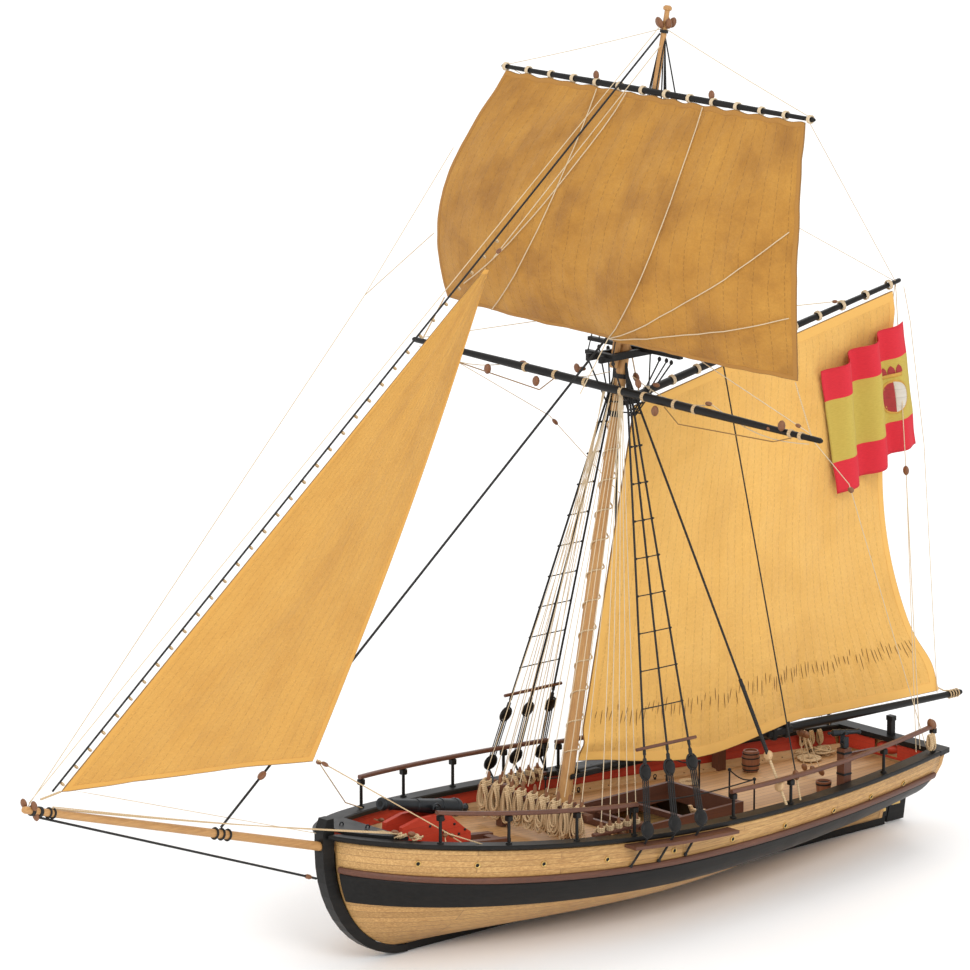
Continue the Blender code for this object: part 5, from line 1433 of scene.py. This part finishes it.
def coil(form, centre, radius, turns=5, line_radius=0.45):
    """A flat spiral of line on the deck."""
    points = []
    for k in range(turns * 20):
        angle = math.tau * k / 20
        reach = radius - (k / (turns * 20)) * turns * line_radius * 1.5
        points.append((centre[0] + reach * math.cos(angle), centre[1] + reach * math.sin(angle),
                       centre[2] + line_radius * (1 + 0.5 * math.sin(angle * 0.3))))
    form.tube(points, line_radius, 6)


def dress_pins_and_coils():
    """Belaying pins with their hanks of line, the gun's tackles, eyebolts, cleats and coils."""
    ropes, iron, pins = Form(), Form(), Form()
    for index in range(9):
        y = (index - 4) * 8.5
        hank(ropes, (-4.6, y, 63.5), 19, 4.6, 11, index)
        hank(ropes, (-3.2, y + 1.5, 62.0), 14, 3.4, 6, 20 + index)
        for lift in (0, 1.0, 2.0):
            ropes.ring((-6.8, y, 61.4 + lift), (0.25, 0.1, 1), 2.0, 0.5, 12, 5)
        pins.turned((-8, y, 55), UP, RACK_PIN, 8)
    for name, side in SIDES:
        rail = Form()
        y, z, start = 51.0, 53.5, -5.0 + shroud_shift(side)
        low, high = sorted((side * (y - 1.8), side * (y + 1.8)))
        rail.block((start - 29, low, z - 1), (start + 5, high, z + 0.8), 0.3)
        for x in (start - 26, start - 12, start + 2):
            low, high = sorted((side * y, side * (y + 8)))
            rail.block((x - 0.8, low, z - 3), (x + 0.8, high, z - 1.1), 0.2)
        rail.piece(name + "_pin_rail", MAHOGANY, "mahogany")
        for index in range(5):
            x = start - 6 * index
            pins.turned((x, side * y, z - 4), UP, RAIL_PIN, 8)
            hank(ropes, (x, side * (y - 2.2), z + 2.4), 6, 2.6, 5, 40 + index)
            for lift in (0, 0.9, 1.8):
                ropes.ring((x, side * y, z + 1.4 + lift), (0.1, 0.2, 1), 1.6, 0.45, 12, 5)
        for x in (112, 88, 46, 10, -90, -140, -180, -236):
            inner = half_breadth(x, 0.85) - PLANK - 2.4
            eyebolt(iron, (x, side * (inner - 6.5), deck_z(x) + 0.4))
        for x in (82, 60):
            fore = Vector((60, side * 8, 58))
            ring = Vector((x, side * (half_breadth(x, 0.8) - 5), deck_z(x) + 6))
            ropes.tube(sagging(fore, ring, 1.5), 0.32, 6)
            pulley(pins, fore.lerp(ring, 0.15), ring - fore, 2.8)
            pulley(pins, fore.lerp(ring, 0.85), ring - fore, 2.8)
        coil(ropes, (-148, side * 34, deck_z(-148) + 0.3), 5.5)
        coil(ropes, (-228, side * 26, deck_z(-228) + 0.3), 6.5, 6)
        cleat = (-238, side * 37)
        z = deck_z(cleat[0]) + 6.5
        iron.tube([(cleat[0] - 4, cleat[1], z), (cleat[0], cleat[1], z - 0.8), (cleat[0] + 4, cleat[1], z)],
                  0.6, 8)
        hank(ropes, (cleat[0], cleat[1] - side * 1.4, z), 7, 3, 6, 77 + side)
    for x, y in ((103, 20), (97, 25.5)):
        spot = Vector((x, y, rail_top(x) + 3))
        pulley(pins, spot, (1, 0.4, 0.4), 4.0)
        pile(ropes, (x - 2, y + 1, rail_top(x) + 0.4), 3.4, 9, int(x))
    for y in (-2, 0, 2.5):
        ropes.tube(sagging((300, y, 114 + 0.4 * y), (102, 21 + y, rail_top(102) + 3), 1.5), 0.26, 6)
    pile(ropes, (-242, -30, deck_z(-242, -30) + 0.5), 7.0, 16, 5)
    pile(ropes, (-232, -36, deck_z(-232, -36) + 0.5), 5.0, 12, 9)
    for x in (-235, -240, -245):
        hank(ropes, (x, -(cap_half(x) - 9.6), rail_top(x) - 1), 8, 2.4, 5, int(-x))
    for x, size in ((-252, 3.6), (-254, 2.8)):
        pulley(pins, (x, cap_half(x) - 4, rail_top(x) + 11.5 + size), (0.2, 0, 1), 4.6)
        hank(ropes, (x + 1, cap_half(x) - 3, rail_top(x) + 10), 9, 2.4, 6, int(-x))
    for y in (-9, 9):
        eyebolt(iron, (112, y, rail_top(112) + 0.1), size=1.2)
    eyebolt(iron, (103, 0, rail_top(103) + 0.1), size=1.2)
    coil(ropes, (104, 9, rail_top(104) + 0.1), 4.2, 5, 0.4)
    ropes.piece("coiled_falls", TAN_ROPE, "tan_rope")
    iron.piece("deck_ironwork", IRON, "gun_iron")
    pins.piece("belaying_pins_and_blocks", BLOCK_WOOD, "mahogany")


def dress_hatch_guard():
    guard, guard_rope = Form(), Form()
    aft, fore = HATCH[:2]
    corners = [(aft - 5, 11), (aft - 2, 32), (fore + 4, 31), (fore + 4, -31), (aft - 2, -32),
               (aft - 5, -11)]
    tops = []
    for x, y in corners:
        foot = deck_z(x, y) + 0.2
        guard.turned((x, y, foot), UP, GUARD_POST, 8)
        tops.append(Vector((x, y, foot + 18.6)))
    for start, end in zip(tops, tops[1:]):
        if start.y * end.y > 0:
            guard_rope.tube(sagging(start, end, 2.2), 0.35, 6)
    guard.piece("hatch_guard_stanchions", IRON, "gun_iron")
    guard_rope.piece("hatch_guard_rope", BLACK_ROPE, "black_rope")


def dress_breastwork():
    """The bulkhead under the foredeck's after edge."""
    x = 97.3
    breast = Form()
    reach = cap_half(x) - CAP_WIDTH - 3
    rings = []
    foot, top = deck_z(x, reach) + 0.3, rail_top(x) - 2.6
    for depth in (x - 1.2, x):
        rings.append([(depth, -reach, foot), (depth, reach, foot), (depth, reach, top),
                      (depth, -reach, top)])
    breast.loft(rings).piece("foredeck_breastwork", RED, "red_paint")


def dress_tubs():
    """The water cask and the match tub, with their hoops."""
    tub, hoops = Form(), Form()
    x, y = -190, -31
    low = deck_z(x, y) + 0.3
    tub.turned((x, y, low), UP, CASK, 24)
    for z, radius in ((1.2, 4.28), (3.6, 4.68), (7.4, 4.68), (9.6, 4.28)):
        hoops.band((x, y, low + z - 0.3), UP, radius - 0.3, radius + 0.15, 0.6, 24)
    bucket = (-182, 30)
    base = deck_z(*bucket) + 0.3
    tub_open = Form()
    tub_open.turned((*bucket, base), UP, ((0, 3.3), (8.5, 4.1), (8.5, 3.4), (1.2, 2.8)), 24)
    for z, radius in ((1.6, 3.45), (6.6, 3.95)):
        inner = radius - 0.3
        hoop = ((0, inner), (0, radius + 0.15), (0.9, radius + 0.2), (0.9, inner))
        hoops.turned((*bucket, base + z), UP, hoop, 24)
    tub.piece("water_cask", TUB_WOOD, "mahogany", replaced=("water_barrel",))
    tub_open.piece("match_tub", TUB_WOOD, "mahogany")
    hoops.piece("cask_hoops", IRON, "gun_iron")


def dress_deck():
    dress_pins_and_coils()
    dress_hatch_guard()
    dress_breastwork()
    dress_tubs()


def dress_stern():
    panel = Form()
    for y in (-1, 1):
        for low, high, inner in ((35.8, 37.0, 0.0), (37.0, 43.9, 8.2), (43.9, 44.6, 0.0)):
            near, far = sorted((y * inner, y * 34.5))
            panel.block((stern_x(low) + 0.6, near, low), (stern_x(low) + 1.1, far, high), 0.1)
    panel.piece("transom_lining", RED, "red_paint")
    inner_face = stern_x(40.4)
    rings = []
    for reach, half, low, high in ((0.15, 7.9, 37.2, 43.7), (1.0, 7.6, 37.4, 43.5), (2.6, 5.2, 38.3, 43.0),
                                   (4.6, 2.4, 39.4, 42.5), (6.6, 1.3, 39.8, 42.4)):
        middle, rise = (low + high) / 2, (high - low) / 2
        rings.append([(inner_face + reach, half * math.cos(a), middle + rise * math.sin(a))
                      for a in (math.tau * k / 20 for k in range(20))])
    boot = Form().loft(rings).piece("tiller_boot", RED, "red_paint", None)
    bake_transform(boot)
    straps, pins = Form(), Form()
    for z in (8, 20, 32):
        x = STERN_FOOT_X - 7.1 - STERN_RAKE * z
        straps.block((x + 1.6, -2.4, z - 1), (x + 7.5, 2.4, z + 1), 0.2)
        pins.block((x - 9.5, -1.9, z + 1.2), (x - 3.2, 1.9, z + 3), 0.2)
    straps.piece("gudgeons", BRASS, "brass")
    pins.piece("pintles", BRASS, "brass", "rudder")
    moulding = Form()
    for z, half in ((38.9, 33.5), (44.0, 36.5)):
        x = stern_x(z) - 3.2
        for y in (-1, 1):
            low, high = sorted((y * 7.2, y * half))
            moulding.block((x - 1.2, low, z - 0.5), (x + 0.3, high, z + 0.5), 0.2)
    moulding.piece("transom_mouldings", MAHOGANY, "mahogany")


# ---------------------------------------------------------------- guns

# From the muzzle back, as (distance along, radius)
GUN_PROFILE = ((0.1, 1.6), (0, 2.9), (0.5, 3.15), (1.0, 3.1), (1.3, 3.35), (2.4, 3.4), (3.2, 3.0),
               (4.8, 2.65), (6.2, 2.7), (6.4, 3.0), (7.0, 3.0), (7.2, 2.75), (23.5, 3.15), (23.7, 3.5),
               (24.7, 3.5), (24.9, 3.3), (39.5, 3.9), (39.7, 4.3), (40.9, 4.3), (41.1, 4.05), (49.4, 4.3),
               (49.6, 4.6), (51.4, 4.6), (52.4, 4.0), (53.3, 2.2), (54.6, 1.2), (55.4, 1.7), (56.6, 1.9),
               (57.7, 1.6), (58.4, 0.6))
SWIVEL_PROFILE = ((0.1, 0.7), (0, 1.3), (0.4, 1.55), (1.2, 1.5), (1.8, 1.15), (6.2, 1.3), (6.4, 1.55),
                  (6.9, 1.55), (7.1, 1.4), (10.4, 1.55), (10.6, 1.85), (11.2, 1.85), (11.4, 1.65),
                  (14.8, 1.9), (15.4, 1.2), (16, 0.7), (16.8, 0.9), (17.5, 0.5))


def dress_guns():
    muzzle, trunnion = Vector((94.9, 0, 77.2)), Vector((63.4, 0, 70.1))
    direction = (muzzle - trunnion).normalized()
    gun = Form()
    gun.turned(muzzle, -direction, GUN_PROFILE, 28)
    gun.tube([trunnion - Vector((0, 7.3, 0)), trunnion + Vector((0, 7.3, 0))], 1.4, 16)
    gun.ring(muzzle - direction * 57.2, (0, 1, 0), 1.9, 0.45, 16, 6)
    gun.block((45.5, -0.8, 70.2), (48.5, 0.8, 71.0), 0.2)
    gun.piece("bow_gun_barrel", IRON, "gun_iron", "bow_gun", ("bow_gun",))
    # A near-black disc just inside the muzzle, not a hollow bore: painted shade for the dark of the bore.
    bore = Form().turned(muzzle + direction * 0.05, -direction, ((0, 1.55), (0.3, 1.5)), 20)
    bore.piece("bow_gun_bore", HOLE_SHADE, "black_paint", "bow_gun")
    fittings = Form()
    for y in (-1, 1):
        for x, z in ((46, 56.5), (53, 60.5), (60, 64.2), (69, 62.4), (75, 58.2), (75, 55), (50, 55)):
            fittings.turned((x, y * 7.4, z), (0, y, 0), ((0, 0.75), (0.5, 0.7), (0.8, 0.4)), 8)
        eyebolt(fittings, (60, y * 7.5, 57.5), (0, y, 0), 1.1)
        cap = [(63.4 + 2.4 * math.cos(t), y * 6.2, 70.0 + 2.4 * math.sin(t))
               for t in (math.pi * k / 8 for k in range(9))]
        fittings.tube(cap, 0.55, 6)
    fittings.piece("gun_carriage_ironwork", IRON, "gun_iron", "gun_carriage")
    for name, side in SIDES:
        turn = math.radians(180 - 27.5) * side
        forward = Vector((math.cos(turn), math.sin(turn), 0))
        centre = Vector((-181, 45.5 * side, 72.2))
        small = Form()
        small.turned(centre + forward * 8.5, -forward, SWIVEL_PROFILE, 18)
        across = Vector((-forward.y, forward.x, 0)) * 3.3
        small.tube([centre - across, centre + across], 0.7, 10)
        small.piece(name + "_swivel_barrel", IRON, "gun_iron", name + "_swivel_gun",
                    (name + "_swivel_gun",))
        band = Form()
        for z in (50, 61):
            band.block((-181 - 2.9, 45.5 * side - 2.9, z), (-181 + 2.9, 45.5 * side + 2.9, z + 1.2), 0.2)
        band.piece(name + "_post_bands", IRON, "gun_iron")


# ---------------------------------------------------------------- studio

# The camera's place in metres, the way it looks, and its lens in millimetres
CAMERA_SPOT = (2.1146, 2.2845, 0.9324)
CAMERA_LOOK = (-0.6579, -0.7195, -0.2226)
LENS, SENSOR = 241.2, 36.0


def studio():
    """Pale floor, three soft lamps and the camera."""
    scene = bpy.context.scene
    world = bpy.data.worlds.new("studio")
    scene.world = world
    world.use_nodes = True
    world.node_tree.nodes["Background"].inputs["Color"].default_value = (1.0, 1.0, 1.0, 1.0)
    world.node_tree.nodes["Background"].inputs["Strength"].default_value = 0.95
    shape = bmesh.new()
    bmesh.ops.create_grid(shape, x_segments=1, y_segments=1, size=40.0)
    data = bpy.data.meshes.new("studio_floor")
    shape.to_mesh(data)
    shape.free()
    floor = bpy.data.objects.new("studio_floor", data)
    paper = Finish("studio_paper", roughness=0.95)
    paper.shader.inputs["Base Color"].default_value = (0.97, 0.97, 0.97, 1.0)
    data.materials.append(paper.material)
    floor.location = (0, 0, -0.0005)
    scene.collection.objects.link(floor)
    for label, spot, energy, size in (("key", (1.4, 3.4, 2.6), 60.0, 1.6),
                                      ("fill", (3.6, 0.4, 1.6), 26.0, 2.2),
                                      ("back", (-2.2, -1.4, 2.8), 24.0, 1.8)):
        lamp = bpy.data.lights.new(label, "AREA")
        lamp.energy = energy
        lamp.size = size
        holder = bpy.data.objects.new(label, lamp)
        holder.location = spot
        holder.rotation_mode = "QUATERNION"
        holder.rotation_quaternion = (Vector((0, 0, 0.2)) - Vector(spot)).to_track_quat("-Z", "Y")
        scene.collection.objects.link(holder)
    lens = bpy.data.cameras.new("view")
    lens.lens = LENS
    lens.sensor_width = SENSOR
    lens.clip_end = 100.0
    camera = bpy.data.objects.new("view", lens)
    camera.location = CAMERA_SPOT
    camera.rotation_mode = "QUATERNION"
    camera.rotation_quaternion = Vector(CAMERA_LOOK).to_track_quat("-Z", "Y")
    scene.collection.objects.link(camera)
    scene.camera = camera
    scene.view_settings.view_transform = "Standard"


ROW_TREE = fitting_row_tree()
finish_solids()
dress_hull()
dress_spars()
dress_sails()
dress_lacings()
dress_shrouds()
dress_stays()
dress_topmast_shrouds()
dress_running_rigging()
dress_handrails()
dress_deck()
dress_stern()
dress_guns()
studio()
